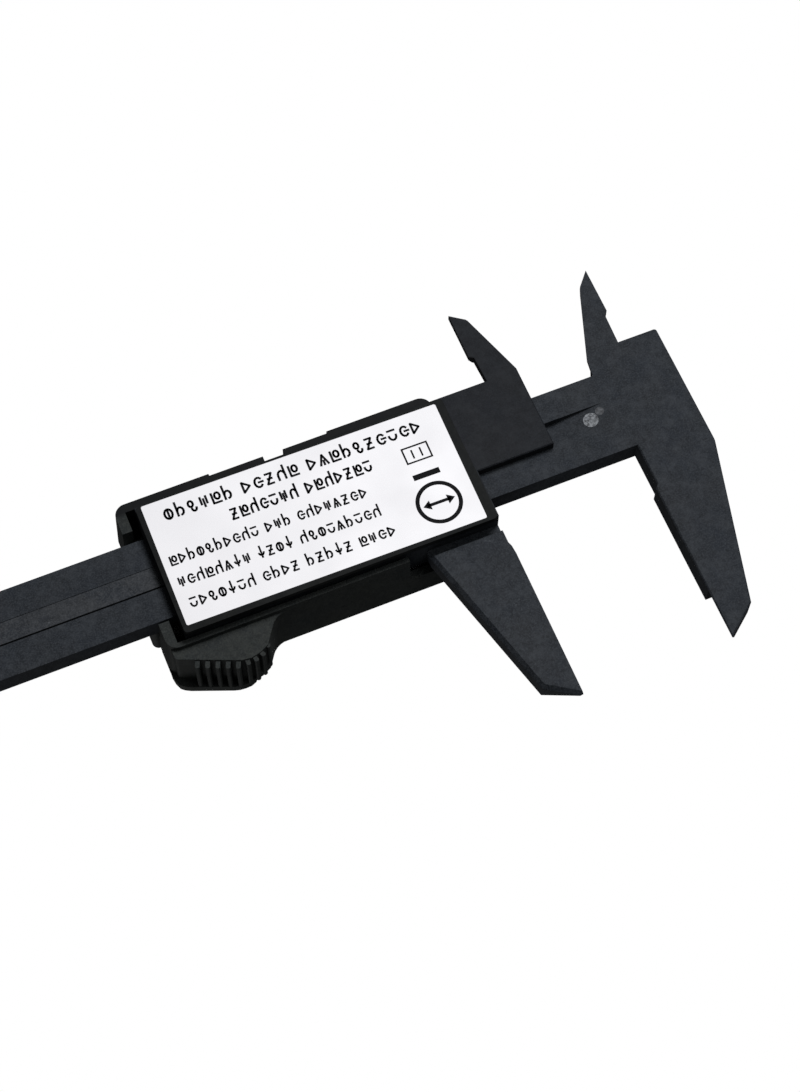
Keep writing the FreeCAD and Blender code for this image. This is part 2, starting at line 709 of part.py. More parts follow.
def make_gib():
    """Brass strip that takes up play against the beam's upper edge, and its leaf spring."""
    gib_low = half_beam + 0.03
    gib_high = gib_low + s.gib_thick
    high = s.gib_front - s.gib_back - 0.2
    level = s.gib_back + 0.1
    slab("gib_strip", (s.gib_start + 0.2, s.gib_finish - 0.2), (gib_low, gib_high), level, high,
         ON_SLIDER)
    spring = new_body("gib_spring", ON_SLIDER)
    leaf = new_sketch(spring, level)
    sheet = 0.2
    near = gib_high + 0.02
    far = rail_inner + s.gib_pocket - 0.02
    inset = (1.0, 12.0)
    draw_outline(leaf, [
        (s.gib_start + inset[0], far - sheet),
        (s.gib_start + inset[1], near),
        (s.gib_finish - inset[1], near),
        (s.gib_finish - inset[0], far - sheet),
        (s.gib_finish - inset[0], far),
        (s.gib_finish - inset[1], near + sheet),
        (s.gib_start + inset[1], near + sheet),
        (s.gib_start + inset[0], far),
    ])
    raise_pad(spring, leaf, high)


def make_depth_rod():
    """Flat rod in the beam's groove, with the boss that ties it to the slider."""
    body = new_body("depth_rod", ON_SLIDER)
    level = s.beam_back + 0.1
    half_rod = s.rod_width / 2
    half_tip = s.rod_tip_width / 2
    shoulder = s.beam_end - s.rod_tip_long
    middle = s.groove_middle + s.rod_rise
    outline = new_sketch(body, level)
    draw_outline(outline, [
        (s.rod_start, middle - half_rod),
        (shoulder, middle - half_rod),
        (shoulder, middle - half_tip),
        (s.beam_end, middle - half_tip),
        (s.beam_end, middle + half_tip),
        (shoulder, middle + half_tip),
        (shoulder, middle + half_rod),
        (s.rod_start, middle + half_rod),
    ])
    raise_pad(body, outline, s.rod_thick)
    boss = new_sketch(body, s.web_back + s.rod_seat)
    draw_circle(boss, s.rod_boss_x, s.groove_middle, s.rod_boss)
    raise_pad(body, boss, level - s.web_back - s.rod_seat)
    cut_circles(body, [(s.rod_boss_x, s.groove_middle)], s.rod_screw, s.web_back + s.rod_seat, 2.0)

    head_back = s.web_back + 0.1
    head_high = s.rod_seat - 0.1
    spot = (s.rod_boss_x, s.groove_middle, head_back)
    head = primitive("Cylinder", "RodScrewHead", ON_SLIDER, spot,
                     Radius=s.screw_head, Height=head_high)
    shank = primitive("Cylinder", "RodScrewShank", ON_SLIDER, spot,
                      Radius=s.rod_screw, Height=head_high + 1.9)
    screw = doc.addObject("Part::MultiFuse", "depth_rod_screw")
    screw.Label = "depth_rod_screw"
    screw.Shapes = [head, shank]
    pieces.append(screw)


def make_back():
    """Back plate, its screws and the label that hides them."""
    plate = slab("back_plate", (s.plate_start, s.frame_finish), (-s.plate_low, s.plate_top),
                 s.film_thick, s.plate_thick, ON_SLIDER, radius=s.plate_round)
    cut_circles(plate, screw_places, screw_clear, s.film_thick, s.plate_thick)
    cut_countersinks(plate, screw_places, s.film_thick, 0.8)
    screws = []
    for number, (x, y) in enumerate(screw_places):
        name = "CoverScrew%d" % number
        screws.append(countersunk_screw(name, ON_SLIDER, x, y, s.film_thick, 0.8, s.screw_long))
    group("cover_screws", screws)

    label = slab("back_label", (-s.label_long / 2, s.label_long / 2),
                 (-s.label_high / 2, s.label_high / 2), 0.0, s.film_thick)
    label.Placement = FreeCAD.Placement(Vector(0, 0, 0), FreeCAD.Rotation(Vector(0, 0, 1), 1))
    label.setExpression(".Placement.Rotation.Angle", s.label_skew.text)
    place(label, s.label_middle_x, s.label_middle_y, 0.0, ON_SLIDER)


# ---------------------------------------------------------------- housing

def draw_grip(body):
    """Thumb grip below the housing's free end: a core, a lip round its front and ribs between."""
    foot = -s.case_low + 3.0
    lowest = -s.grip_reach
    core = new_sketch(body, s.grip_back)
    heel = (s.case_finish - 0.45, lowest + 4.7)
    low_corner = (s.case_finish - 11.1, lowest + 0.2)
    draw_outline(core, [
        (s.case_finish - 0.6, foot),
        heel,
        low_corner,
        (s.case_finish - 12.8, lowest),
        (s.case_finish - 14.6, lowest + 0.4),
        (s.case_finish - 16.3, lowest + 1.25),
        (s.case_finish - 21.7, foot),
    ])
    raise_pad(body, core, s.grip_front - s.grip_back)
    round_uprights(body, [heel], 0.8, reach=0.5)
    draw_sweep(body, foot)

    lip = new_sketch(body, s.lip_back)
    draw_outline(lip, [
        (s.case_finish - 0.3, foot),
        (s.case_finish + 0.3, foot - 0.4),
        (s.case_finish + 0.45, lowest + 5.9),
        (s.case_finish + 0.25, lowest + 4.6),
        (s.case_finish - 0.2, lowest + 3.5),
        (s.case_finish - 0.85, lowest + 2.95),
        (s.case_finish - 1.75, lowest + 2.45),
        (s.case_finish - 8.9, lowest - 0.4),
        (s.case_finish - 9.8, lowest - 0.65),
        (s.case_finish - 10.9, lowest - 0.75),
        (s.case_finish - 12.0, lowest - 0.7),
        (s.case_finish - 13.0, lowest - 0.3),
        (s.case_finish - 13.6, lowest + 0.4),
        (s.case_finish - 13.6, foot),
    ])
    raise_pad(body, lip, s.grip_front - s.lip_back)

    # the ribs turn round the grip; those on the long side are the deepest
    ribs = new_sketch(body, s.grip_back + 0.3)
    for number in range(5):
        x, y = step_along(heel, low_corner, s.rib_pitch * number + 3.87)
        draw_rib(ribs, x, y, -67.0, s.rib_deep)
    for x, y, turn, less in ((-12.0, 0.08, -87.0, 0.4), (-13.35, 0.14, -102.0, 0.45),
                             (-14.7, 0.45, -117.0, 0.6), (-16.2, 1.3, -135.0, 0.95)):
        draw_rib(ribs, s.case_finish + x, lowest + y, turn, s.rib_deep - less)
    raise_pad(body, ribs, s.lip_back - s.grip_back - 0.2)


def draw_sweep(body, foot):
    """Hollow curve from the housing's leaning side to the grip's end, as a ruled loft."""
    lean = tangent(s.case_draft)
    sections = []
    for level in (s.grip_back, s.grip_front):
        side = -s.case_low - lean * (level - s.case_back)
        corner_x = s.case_finish - 19.58 + lean * (level - s.grip_back) * 0.7
        centre_x = corner_x - s.grip_sweep * tangent(s.sweep_turn / 2)
        points = [(centre_x, foot)]
        steps = 5
        for step in range(steps + 1):
            along = math.radians(90.0 - s.sweep_turn.value * step / steps)
            points.append((centre_x + s.grip_sweep * math.cos(along),
                           side - s.grip_sweep * (1.0 - math.sin(along))))
        points.append((corner_x + 2.6, foot - 4.0))
        points.append((corner_x + 2.6, foot))
        sketch = new_sketch(body, level)
        draw_outline(sketch, points)
        sections.append(sketch)
    loft = body.newObject("PartDesign::AdditiveLoft", body.Name + "Loft")
    loft.Profile = sections[0]
    loft.Sections = sections[1:]
    loft.Ruled = True
    doc.recompute()


def draw_rib(sketch, x, y, turn, deep):
    """One rib's outline, standing out from a point of the core in a direction in degrees."""
    along = math.radians(turn)
    out_x, out_y = math.cos(along), math.sin(along)
    half = s.rib_width / 2
    outline = []
    for side, out in ((-1.0, as_size(-0.4)), (1.0, as_size(-0.4)), (1.0, deep - 0.2),
                      (0.5, deep), (-0.5, deep), (-1.0, deep - 0.2)):
        outline.append((x + out * out_x - half * side * out_y, y + out * out_y + half * side * out_x))
    draw_outline(sketch, outline)


def step_along(start, finish, distance):
    """The point at a distance from one corner towards another."""
    run_x = as_size(finish[0] - start[0])
    run_y = as_size(finish[1] - start[1])
    share = distance / math.hypot(run_x.value, run_y.value)
    return start[0] + run_x * share, start[1] + run_y * share


def make_front_cover():
    """Housing shell: drafted sides, thumb grip, screw posts, window, button holes, door ways."""
    body = new_body("front_cover", ON_SLIDER)
    outline = new_sketch(body, s.case_back)
    draw_rectangle(outline, s.case_start, s.case_finish, -s.case_low, s.case_top)
    raise_pad(body, outline, s.case_front - s.case_back, taper=s.case_draft)
    free_end = new_sketch(body, -s.case_top - 3.0, "XZ_Plane")
    draw_outline(free_end, [
        (s.case_finish, s.case_back),
        (s.case_finish + 3.0, s.case_back),
        (s.case_finish + 3.0, s.case_front + 0.01),
        (s.case_finish + s.end_lean, s.case_front + 0.01),
    ])
    cut_pocket(body, free_end, s.case_top + s.case_low + 6.0)
    corners = [(x, y) for x in (s.case_start, s.case_finish) for y in (-s.case_low, s.case_top)]
    round_uprights(body, corners, s.corner_round)
    dress(body, "Fillet", level_edges(body, s.case_front), s.front_round)
    draw_grip(body)

    inner_high = inner_front - s.case_back
    cut_rectangle(body, (s.inner_start, s.inner_finish), (-s.inner_low, s.inner_top),
                  s.case_back, inner_high)
    cut_rectangle(body, (s.notch_start, s.notch_finish), (s.inner_top - 1.0, s.case_top + 2.0),
                  s.case_back, s.notch_deep)
    cut_rectangle(body, (s.hold_start, s.hold_finish), (s.hold_top, s.case_top + 2.0),
                  s.case_back, s.grip_front - s.case_back)
    frame_way = s.rail_front + 0.15 - s.case_back
    cut_rectangle(body, (s.case_start - 2.0, s.inner_start + 1.0),
                  (-s.inner_low, s.rail_top + 0.15), s.case_back, frame_way)
    jaw_way = s.jaw_way_front - s.case_back
    cut_rectangle(body, (s.case_start - 2.0, s.moving_root + 3.8),
                  (-s.case_low - 3.0, -s.inner_low + 1.0), s.case_back, jaw_way)

    posts = new_sketch(body, s.rail_front)
    for x, y in screw_places:
        draw_circle(posts, x, y, s.post_radius)
    raise_pad(body, posts, inner_front - s.rail_front)
    cut_circles(body, screw_places, s.screw_radius, s.rail_front, 4.0)

    way_half = s.door_half + s.door_gap
    tongue_half = way_half + s.door_tongue
    rails_high = 1.3
    rails = new_sketch(body, inner_front - rails_high)
    for side in (1.0, -1.0):
        draw_rectangle(rails, s.door_start, s.inner_finish, way_half * side,
                       (tongue_half + 1.2) * side)
    raise_pad(body, rails, rails_high)
    past_end = s.door_finish + 2.0
    whole = s.case_front - s.case_back + 1.0
    cut_rectangle(body, (s.inner_finish - 0.5, past_end), (-rail_inner - 0.3, s.end_way_top),
                  s.case_back, s.end_way_front - s.case_back)
    cut_rectangle(body, (s.inner_finish - 0.5, past_end), (-way_half, way_half),
                  s.end_way_front - 0.1, whole)
    cut_rectangle(body, (s.door_start - s.door_gap, past_end), (-way_half, way_half),
                  inner_front - rails_high - 0.5, 4.0)
    cut_rectangle(body, (s.door_start - s.door_gap, past_end), (-tongue_half, tongue_half),
                  inner_front + s.tongue_up - s.door_gap, s.tongue_thick + s.door_gap * 2)

    overlay_back = s.case_front - s.overlay_thick
    cut_rectangle(body, overlay_xs(0.05), overlay_ys(0.05), overlay_back, 1.0)
    cut_rectangle(body, window_xs(0.05), window_ys(0.05), overlay_back - s.window_thick, 1.0)
    cut_rectangle(body, view_xs(), view_ys(), inner_front - 0.5, 3.0)
    for x, y in button_places:
        half_long = s.button_long / 2 + s.button_gap
        half_high = s.button_high / 2 + s.button_gap
        cut_rectangle(body, (x - half_long, x + half_long), (y - half_high, y + half_high),
                      inner_front - 0.5, 3.0)
    return body


def overlay_xs(gap=0.0):
    return (s.overlay_start - gap, s.overlay_finish + gap)


def overlay_ys(gap=0.0):
    return (-s.overlay_low - gap, s.overlay_top + gap)


def window_xs(gap=0.0):
    return (s.glass_start - s.window_margin - gap, s.glass_finish + s.window_margin + gap)


def window_ys(gap=0.0):
    return (-s.glass_low - s.window_margin - gap, s.glass_top + s.window_margin + gap)


def view_xs():
    return (s.glass_start + s.view_margin, s.glass_finish - s.view_margin)


def view_ys():
    return (-s.glass_low + s.view_margin, s.glass_top - s.view_margin)


def make_front():
    """Clear window in the housing, and the printed film round it and the buttons."""
    overlay_back = s.case_front - s.overlay_thick
    slab("display_window", window_xs(), window_ys(), overlay_back - s.window_thick,
         s.window_thick, ON_SLIDER, radius=0.5)
    film = slab("front_overlay", overlay_xs(), overlay_ys(), overlay_back, s.overlay_thick,
                ON_SLIDER, radius=1.2)
    cut_rectangle(film, view_xs(), view_ys(), overlay_back, s.overlay_thick)
    for x, y in button_places:
        half_long = s.button_long / 2 + s.button_gap
        half_high = s.button_high / 2 + s.button_gap
        cut_rectangle(film, (x - half_long, x + half_long), (y - half_high, y + half_high),
                      overlay_back, s.overlay_thick)


def make_button(label, x, y):
    """Cap that stands out of the housing, flange that keeps it in, and stem to the board."""
    flange_front = inner_front - 0.05
    flange_back = flange_front - s.button_flange
    stem_back = board_front + s.dome_high + s.button_travel + 0.05
    half_long = s.button_long / 2
    half_high = s.button_high / 2
    body = new_body(label, ON_SLIDER)
    xs = (x - half_long, x + half_long)
    ys = (y - half_high, y + half_high)
    cap_high = s.case_front + s.button_proud - flange_back
    pad_rectangle(body, xs, ys, flange_back, cap_high)
    round_uprights(body, [(a, b) for a in xs for b in ys], 0.6)
    dress(body, "Fillet", level_edges(body, flange_back + cap_high), 0.35)
    flange_xs = (xs[0] - 0.6, xs[1] + 0.6)
    flange_ys = (ys[0] - 0.6, ys[1] + 0.6)
    pad_rectangle(body, flange_xs, flange_ys, flange_back, s.button_flange)
    stem = new_sketch(body, stem_back)
    draw_circle(stem, x, y, 0.9)
    raise_pad(body, stem, flange_back - stem_back)


# ---------------------------------------------------------------- display and electronics

def make_board():
    """Circuit board on the rails, with its chip, small parts and contact domes."""
    board = slab("circuit_board", (s.board_start, s.board_finish), (-s.board_low, s.board_top),
                 s.rail_front, s.board_thick, ON_SLIDER)
    near_places = screw_places[:2]
    cut_circles(board, near_places, s.post_radius + 0.15, s.rail_front, s.board_thick)
    slab("processor_chip", (23.5, 30.5), (1.0, 8.0), board_front, 1.2, ON_SLIDER, radius=0.4)
    small = []
    for number, (x, y) in enumerate([(8.2, 1.0), (8.2, 4.5), (17.7, -4.9), (30.1, -4.9)]):
        small.append(primitive("Box", "Component%d" % number, ON_SLIDER, (x, y, board_front),
                               Length=1.6, Width=0.9, Height=0.8))
    group("board_components", small)
    domes = []
    for number, (x, y) in enumerate(button_places):
        domes.append(primitive("Cone", "Dome%d" % number, ON_SLIDER, (x, y, board_front),
                               Radius1=2.0, Radius2=1.1, Height=s.dome_high))
    group("contact_domes", domes)


def make_display():
    """Display glass, the holder that frames it and the strip that connects it."""
    wall = s.holder_wall
    glass_xs = (s.glass_start, s.glass_finish)
    glass_ys = (-s.glass_low, s.glass_top)
    slab("lcd_glass", glass_xs, glass_ys, s.glass_back, s.glass_thick, ON_SLIDER)
    holder = slab("lcd_holder", (glass_xs[0] - wall, glass_xs[1] + wall),
                  (glass_ys[0] - wall, glass_ys[1] + wall), board_front,
                  s.glass_back + s.glass_thick - board_front, ON_SLIDER, radius=0.6)
    gap = 0.05
    cut_rectangle(holder, (glass_xs[0] - gap, glass_xs[1] + gap),
                  (glass_ys[0] - gap, glass_ys[1] + gap), s.glass_back, s.glass_thick)
    ledge = 1.2
    strip_deep = s.glass_back - board_front
    cut_rectangle(holder, (glass_xs[0] + ledge, glass_xs[1] - ledge),
                  (glass_ys[0] + ledge, glass_ys[1] - ledge * 2), board_front, strip_deep)
    strip_xs = (glass_xs[0] + 1.0, glass_xs[1] - 1.0)
    strip_ys = (s.glass_top - 1.8, s.glass_top - 0.4)
    cut_rectangle(holder, (strip_xs[0] - gap, strip_xs[1] + gap),
                  (strip_ys[0] - gap, strip_ys[1] + gap), board_front, strip_deep)
    slab("elastomer_connector", strip_xs, strip_ys, board_front, strip_deep, ON_SLIDER)


# ---------------------------------------------------------------- battery

def make_contact(label, middle_y, outline):
    """Bent strip 3 mm wide, drawn from its side."""
    body = new_body(label, ON_SLIDER)
    side = new_sketch(body, -(as_size(middle_y) + 1.5), "XZ_Plane")
    draw_outline(side, outline)
    raise_pad(body, side, 3.0)


def make_battery():
    """Tray, button cell and its two contacts."""
    tray = slab("battery_tray", (s.door_start + 0.1, s.inner_finish - 0.3),
                (-s.tray_half, s.tray_half), s.rail_front,
                inner_front - s.rail_front - 0.2, ON_SLIDER)
    floor_front = s.rail_front + s.tray_floor
    cut_circles(tray, [(s.cell_middle, 0.0)], s.cell_radius + 0.15, floor_front, 7.0)
    cut_rectangle(tray, (s.door_start - 1.0, s.cell_middle - 4.5), (-4.6, 4.6),
                  floor_front, 7.0)

    cell = new_body("battery_cell", ON_SLIDER)
    lower = new_sketch(cell, s.cell_back)
    draw_circle(lower, s.cell_middle, 0.0, s.cell_radius - 0.9)
    raise_pad(cell, lower, 0.3)
    can = new_sketch(cell, s.cell_back + 0.3)
    draw_circle(can, s.cell_middle, 0.0, s.cell_radius)
    raise_pad(cell, can, s.cell_high - 0.3)
    dress(cell, "Fillet", level_edges(cell, s.cell_back + s.cell_high), 0.35)

    sheet = s.contact_thick
    foot = (43.1, 44.7)
    strip_back = s.cell_back - sheet
    make_contact("battery_contact_negative", -2.4, [
        (foot[0], board_front),
        (foot[1], board_front),
        (foot[1], strip_back),
        (s.cell_middle + 1.0, strip_back),
        (s.cell_middle + 1.0, s.cell_back),
        (foot[1] + sheet.value, s.cell_back),
        (foot[1] + sheet.value, board_front + sheet),
        (foot[0], board_front + sheet),
    ])
    touch = s.cell_middle - s.cell_radius
    make_contact("battery_contact_positive", 2.4, [
        (foot[0], board_front),
        (touch, board_front),
        (touch, board_front + 3.6),
        (touch - sheet, board_front + 3.6),
        (touch - sheet, board_front + sheet),
        (foot[0], board_front + sheet),
    ])


def make_battery_door():
    """Door that slides off the free end, with side tongues and a lip over the end wall."""
    body = new_body("battery_door", ON_SLIDER)
    half = s.door_half
    front_thick = s.case_front - inner_front
    pad_rectangle(body, (s.door_start, s.door_finish), (-half, half), inner_front, front_thick)
    pad_rectangle(body, (s.door_finish - s.door_lip, s.door_finish), (-half, half),
                  s.door_lip_back, inner_front - s.door_lip_back + 0.5)
    round_uprights(body, [(s.door_finish, half), (s.door_finish, -half)], 1.2)

    def on_end(point):
        return point.x > s.door_finish.value - 1.0

    dress(body, "Fillet", level_edges(body, s.case_front, on_end), 0.8)
    tongue_half = half + s.door_tongue
    pad_rectangle(body, (s.door_start, s.inner_finish), (-tongue_half, tongue_half),
                  inner_front + s.tongue_up, s.tongue_thick)
    grooves = new_sketch(body, s.case_front - 0.3)
    for number in range(5):
        x = s.door_start + 7.5 + 1.5 * number
        draw_rectangle(grooves, x, x + 0.7, -4.6, 4.6)
    cut_pocket(body, grooves, 1.0)


# ---------------------------------------------------------------- the whole caliper

def export_pieces():
    """Refuse a broken document, then write one file per piece."""
    doc.recompute()
    for item in doc.Objects:
        if "Invalid" in item.State or "Error" in item.State:
            raise RuntimeError("%s did not compute" % item.Name)
    os.makedirs("parts", exist_ok=True)
    for piece in pieces:
        if piece.Shape.isNull() or not piece.Shape.isValid():
            raise RuntimeError("%s has no valid shape" % piece.Label)
        piece.Shape.exportStep("parts/%s.step" % piece.Label)


make_beam()
make_scale()
make_end_stop()
make_slider_frame()
make_gib()
make_depth_rod()
make_back()
make_front_cover()
make_front()
for label, (x, y) in zip(("button_power", "button_zero", "button_unit"), button_places):
    make_button(label, x, y)
make_board()
make_display()
make_battery()
make_battery_door()
export_pieces()
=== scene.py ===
import json
import math
import random

import bmesh
import bpy
from mathutils import Matrix, Vector


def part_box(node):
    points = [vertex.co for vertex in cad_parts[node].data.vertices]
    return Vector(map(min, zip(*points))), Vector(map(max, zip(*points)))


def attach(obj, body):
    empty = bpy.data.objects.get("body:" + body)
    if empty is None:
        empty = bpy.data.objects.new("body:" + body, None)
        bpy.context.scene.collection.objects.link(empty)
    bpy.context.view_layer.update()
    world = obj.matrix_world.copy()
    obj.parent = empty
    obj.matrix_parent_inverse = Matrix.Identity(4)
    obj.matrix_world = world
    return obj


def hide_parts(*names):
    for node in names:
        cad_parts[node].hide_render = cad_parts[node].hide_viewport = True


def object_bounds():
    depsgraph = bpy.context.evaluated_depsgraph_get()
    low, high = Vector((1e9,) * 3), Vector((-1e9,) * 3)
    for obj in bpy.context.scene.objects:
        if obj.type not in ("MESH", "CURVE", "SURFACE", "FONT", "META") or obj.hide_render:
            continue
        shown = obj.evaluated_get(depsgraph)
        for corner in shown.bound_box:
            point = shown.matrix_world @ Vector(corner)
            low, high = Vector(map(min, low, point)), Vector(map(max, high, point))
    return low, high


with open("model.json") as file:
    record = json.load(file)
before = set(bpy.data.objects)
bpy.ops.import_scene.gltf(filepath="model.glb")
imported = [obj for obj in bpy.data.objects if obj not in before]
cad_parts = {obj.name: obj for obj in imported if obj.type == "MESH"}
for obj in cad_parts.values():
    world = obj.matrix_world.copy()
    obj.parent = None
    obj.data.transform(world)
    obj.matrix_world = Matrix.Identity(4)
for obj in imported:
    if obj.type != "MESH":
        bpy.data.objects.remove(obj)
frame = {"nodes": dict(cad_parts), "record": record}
cad_low, cad_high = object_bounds()

# Metres. +X runs along the beam to its free end, +Y to the inside jaws, +Z to the display.
# The caliper lies on its back label, and the camera looks up at its back.

MM = 0.001
SLIDER = "slider_assembly"
BEAM = "beam_assembly"


def corners(node):
    """Lowest and highest corner of a CAD node, as vectors."""
    low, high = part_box(node)
    return Vector(low), Vector(high)


# ---------------------------------------------------------------- materials

BEVEL_SAMPLES = 4

# Near-black painted shade, which darken_past mixes in.
PAINTED_SHADE = (0.004, 0.004, 0.005, 1.0)


class Paint:
    """A node material under construction: short calls that add and join shader nodes."""

    def __init__(self, name, colour, roughness, metallic=0.0, specular=0.5):
        self.material = bpy.data.materials.new(name)
        self.material.use_nodes = True
        self.tree = self.material.node_tree
        self.shader = self.tree.nodes["Principled BSDF"]
        self.shader.inputs["Base Color"].default_value = (*colour, 1.0)
        self.shader.inputs["Roughness"].default_value = roughness
        self.shader.inputs["Metallic"].default_value = metallic
        self.shader.inputs["Specular IOR Level"].default_value = specular
        self.colour = None
        self.place = self.node("ShaderNodeTexCoord").outputs["Object"]

    def node(self, kind, **settings):
        """A new node of a kind, with its settings."""
        node = self.tree.nodes.new(kind)
        for name, value in settings.items():
            setattr(node, name, value)
        return node

    def join(self, source, target):
        """A link from an output to an input."""
        self.tree.links.new(source, target)

    def stretch(self, x, y, z):
        """Coordinates scaled differently along each axis, for grain that runs one way."""
        mapping = self.node("ShaderNodeMapping")
        mapping.inputs["Scale"].default_value = (x, y, z)
        self.join(self.place, mapping.inputs["Vector"])
        return mapping.outputs["Vector"]

    def noise(self, size, detail=2.0, vector=None, rough=0.55):
        """Noise whose blotches are about the given size in metres."""
        noise = self.node("ShaderNodeTexNoise")
        noise.inputs["Scale"].default_value = 1.0 / size
        noise.inputs["Detail"].default_value = detail
        noise.inputs["Roughness"].default_value = rough
        self.join(vector or self.place, noise.inputs["Vector"])
        return noise.outputs["Fac"]

    def between(self, factor, low, high, from_low=0.3, from_high=0.7):
        """The factor stretched from one range to another."""
        spread = self.node("ShaderNodeMapRange")
        spread.inputs["From Min"].default_value = from_low
        spread.inputs["From Max"].default_value = from_high
        spread.inputs["To Min"].default_value = low
        spread.inputs["To Max"].default_value = high
        self.join(factor, spread.inputs["Value"])
        return spread.outputs["Result"]

    def tint(self, factor, colour):
        """Lay a colour over what there is, as much as the factor says."""
        mix = self.node("ShaderNodeMix", data_type="RGBA")
        self.join(factor, mix.inputs["Factor"])
        if self.colour is None:
            mix.inputs["A"].default_value = self.shader.inputs["Base Color"].default_value
        else:
            self.join(self.colour, mix.inputs["A"])
        mix.inputs["B"].default_value = (*colour, 1.0)
        self.colour = mix.outputs["Result"]
        self.join(self.colour, self.shader.inputs["Base Color"])

    def roughen(self, factor, low, high):
        """Let the roughness run from low to high with the factor."""
        self.join(self.between(factor, low, high), self.shader.inputs["Roughness"])

    def bump(self, height, distance, strength=1.0, edge=None):
        """Small relief, over rounded edges when an edge radius is given."""
        bump = self.node("ShaderNodeBump")
        bump.inputs["Strength"].default_value = strength
        bump.inputs["Distance"].default_value = distance
        self.join(height, bump.inputs["Height"])
        if edge:
            bevel = self.node("ShaderNodeBevel", samples=BEVEL_SAMPLES)
            bevel.inputs["Radius"].default_value = edge
            self.join(bevel.outputs["Normal"], bump.inputs["Normal"])
        self.join(bump.outputs["Normal"], self.shader.inputs["Normal"])


def scaled(colour, share):
    """A colour with each of its values multiplied."""
    return tuple(value * share for value in colour)


def filled_plastic(name, colour, light, roughness, speckle=0.55):
    """Moulded plastic with a carbon filler: mottled clouds, fine specks and a matt grain."""
    paint = Paint(name, colour, roughness, specular=0.04)
    red, green, blue = colour
    clouds = paint.noise(7 * MM, detail=3.0)
    paint.tint(paint.between(clouds, 0.0, 0.6), (red * 0.75, green * 0.9, blue * 1.1))
    mottle = paint.noise(2.2 * MM, detail=4.0, rough=0.7)
    paint.tint(paint.between(mottle, 0.0, 0.45, 0.42, 0.68), light)
    dark = paint.noise(0.8 * MM, detail=3.0, rough=0.65)
    paint.tint(paint.between(dark, 0.45, 0.0, 0.34, 0.52), scaled(colour, 0.45))
    grain = paint.noise(0.3 * MM, detail=2.0, rough=0.8)
    paint.tint(paint.between(grain, 0.0, speckle, 0.46, 0.62), light)
    scuffs = paint.noise(5 * MM, detail=6.0, vector=paint.stretch(0.5, 1.6, 1.0), rough=0.8)
    paint.tint(paint.between(scuffs, 0.0, 0.8, 0.66, 0.76), scaled(light, 1.9))
    paint.roughen(grain, roughness - 0.06, roughness + 0.1)
    paint.bump(grain, 0.006 * MM, strength=0.35, edge=0.12 * MM)
    return paint.material


def darken_past(material, axis, start, finish, share):
    """Mix a share of painted shade into a material, growing from start to finish along an axis."""
    tree = material.node_tree
    shader = tree.nodes["Principled BSDF"]
    place = tree.nodes.new("ShaderNodeTexCoord")
    split = tree.nodes.new("ShaderNodeSeparateXYZ")
    tree.links.new(place.outputs["Object"], split.inputs["Vector"])
    step = tree.nodes.new("ShaderNodeMapRange")
    step.inputs["From Min"].default_value = start
    step.inputs["From Max"].default_value = finish
    step.inputs["To Min"].default_value = 0.0
    step.inputs["To Max"].default_value = share
    tree.links.new(split.outputs[axis], step.inputs["Value"])
    mix = tree.nodes.new("ShaderNodeMix")
    mix.data_type = "RGBA"
    colour = shader.inputs["Base Color"].links[0].from_socket
    tree.links.new(step.outputs["Result"], mix.inputs["Factor"])
    tree.links.new(colour, mix.inputs["A"])
    mix.inputs["B"].default_value = PAINTED_SHADE
    tree.links.new(mix.outputs["Result"], shader.inputs["Base Color"])


def printed_film(name, colour, roughness):
    """Printed plastic film: even colour with a faint orange peel and handling marks."""
    paint = Paint(name, colour, roughness, specular=0.5)
    cloud = paint.noise(12 * MM, detail=2.0)
    paint.tint(paint.between(cloud, 0.0, 0.5), scaled(colour, 0.94))
    peel = paint.noise(0.6 * MM, detail=1.0)
    paint.roughen(cloud, roughness - 0.05, roughness + 0.08)
    paint.bump(peel, 0.004 * MM, strength=0.5, edge=0.05 * MM)
    return paint.material


def silver_film(name, colour):
    """Satin silver film: fine streaks along the beam."""
    paint = Paint(name, colour, 0.38, metallic=0.35, specular=0.5)
    streaks = paint.noise(0.35 * MM, detail=2.0, vector=paint.stretch(0.03, 1.0, 1.0))
    paint.tint(paint.between(streaks, 0.0, 0.5), scaled(colour, 0.82))
    paint.roughen(streaks, 0.3, 0.46)
    paint.bump(streaks, 0.003 * MM, strength=0.5)
    return paint.material


def sheet_metal(name, colour, roughness, grain=(0.06, 1.0, 1.0)):
    """Rolled or turned metal with fine lines and dull patches."""
    paint = Paint(name, colour, roughness, metallic=1.0)
    lines = paint.noise(0.12 * MM, detail=3.0, vector=paint.stretch(*grain))
    patches = paint.noise(2 * MM, detail=3.0)
    paint.tint(paint.between(patches, 0.0, 0.45), scaled(colour, 0.7))
    paint.roughen(lines, roughness - 0.08, roughness + 0.12)
    paint.bump(lines, 0.005 * MM, strength=0.6, edge=0.06 * MM)
    return paint.material


def laminate(name):
    """Green board: woven glass under the lacquer."""
    paint = Paint(name, (0.01, 0.11, 0.045), 0.35)
    warp = paint.noise(0.5 * MM, detail=1.0, vector=paint.stretch(1.0, 0.1, 1.0))
    weft = paint.noise(0.5 * MM, detail=1.0, vector=paint.stretch(0.1, 1.0, 1.0))
    paint.tint(paint.between(warp, 0.0, 0.5), (0.02, 0.2, 0.07))
    paint.tint(paint.between(weft, 0.0, 0.5), (0.008, 0.08, 0.04))
    paint.bump(weft, 0.006 * MM, edge=0.05 * MM)
    return paint.material


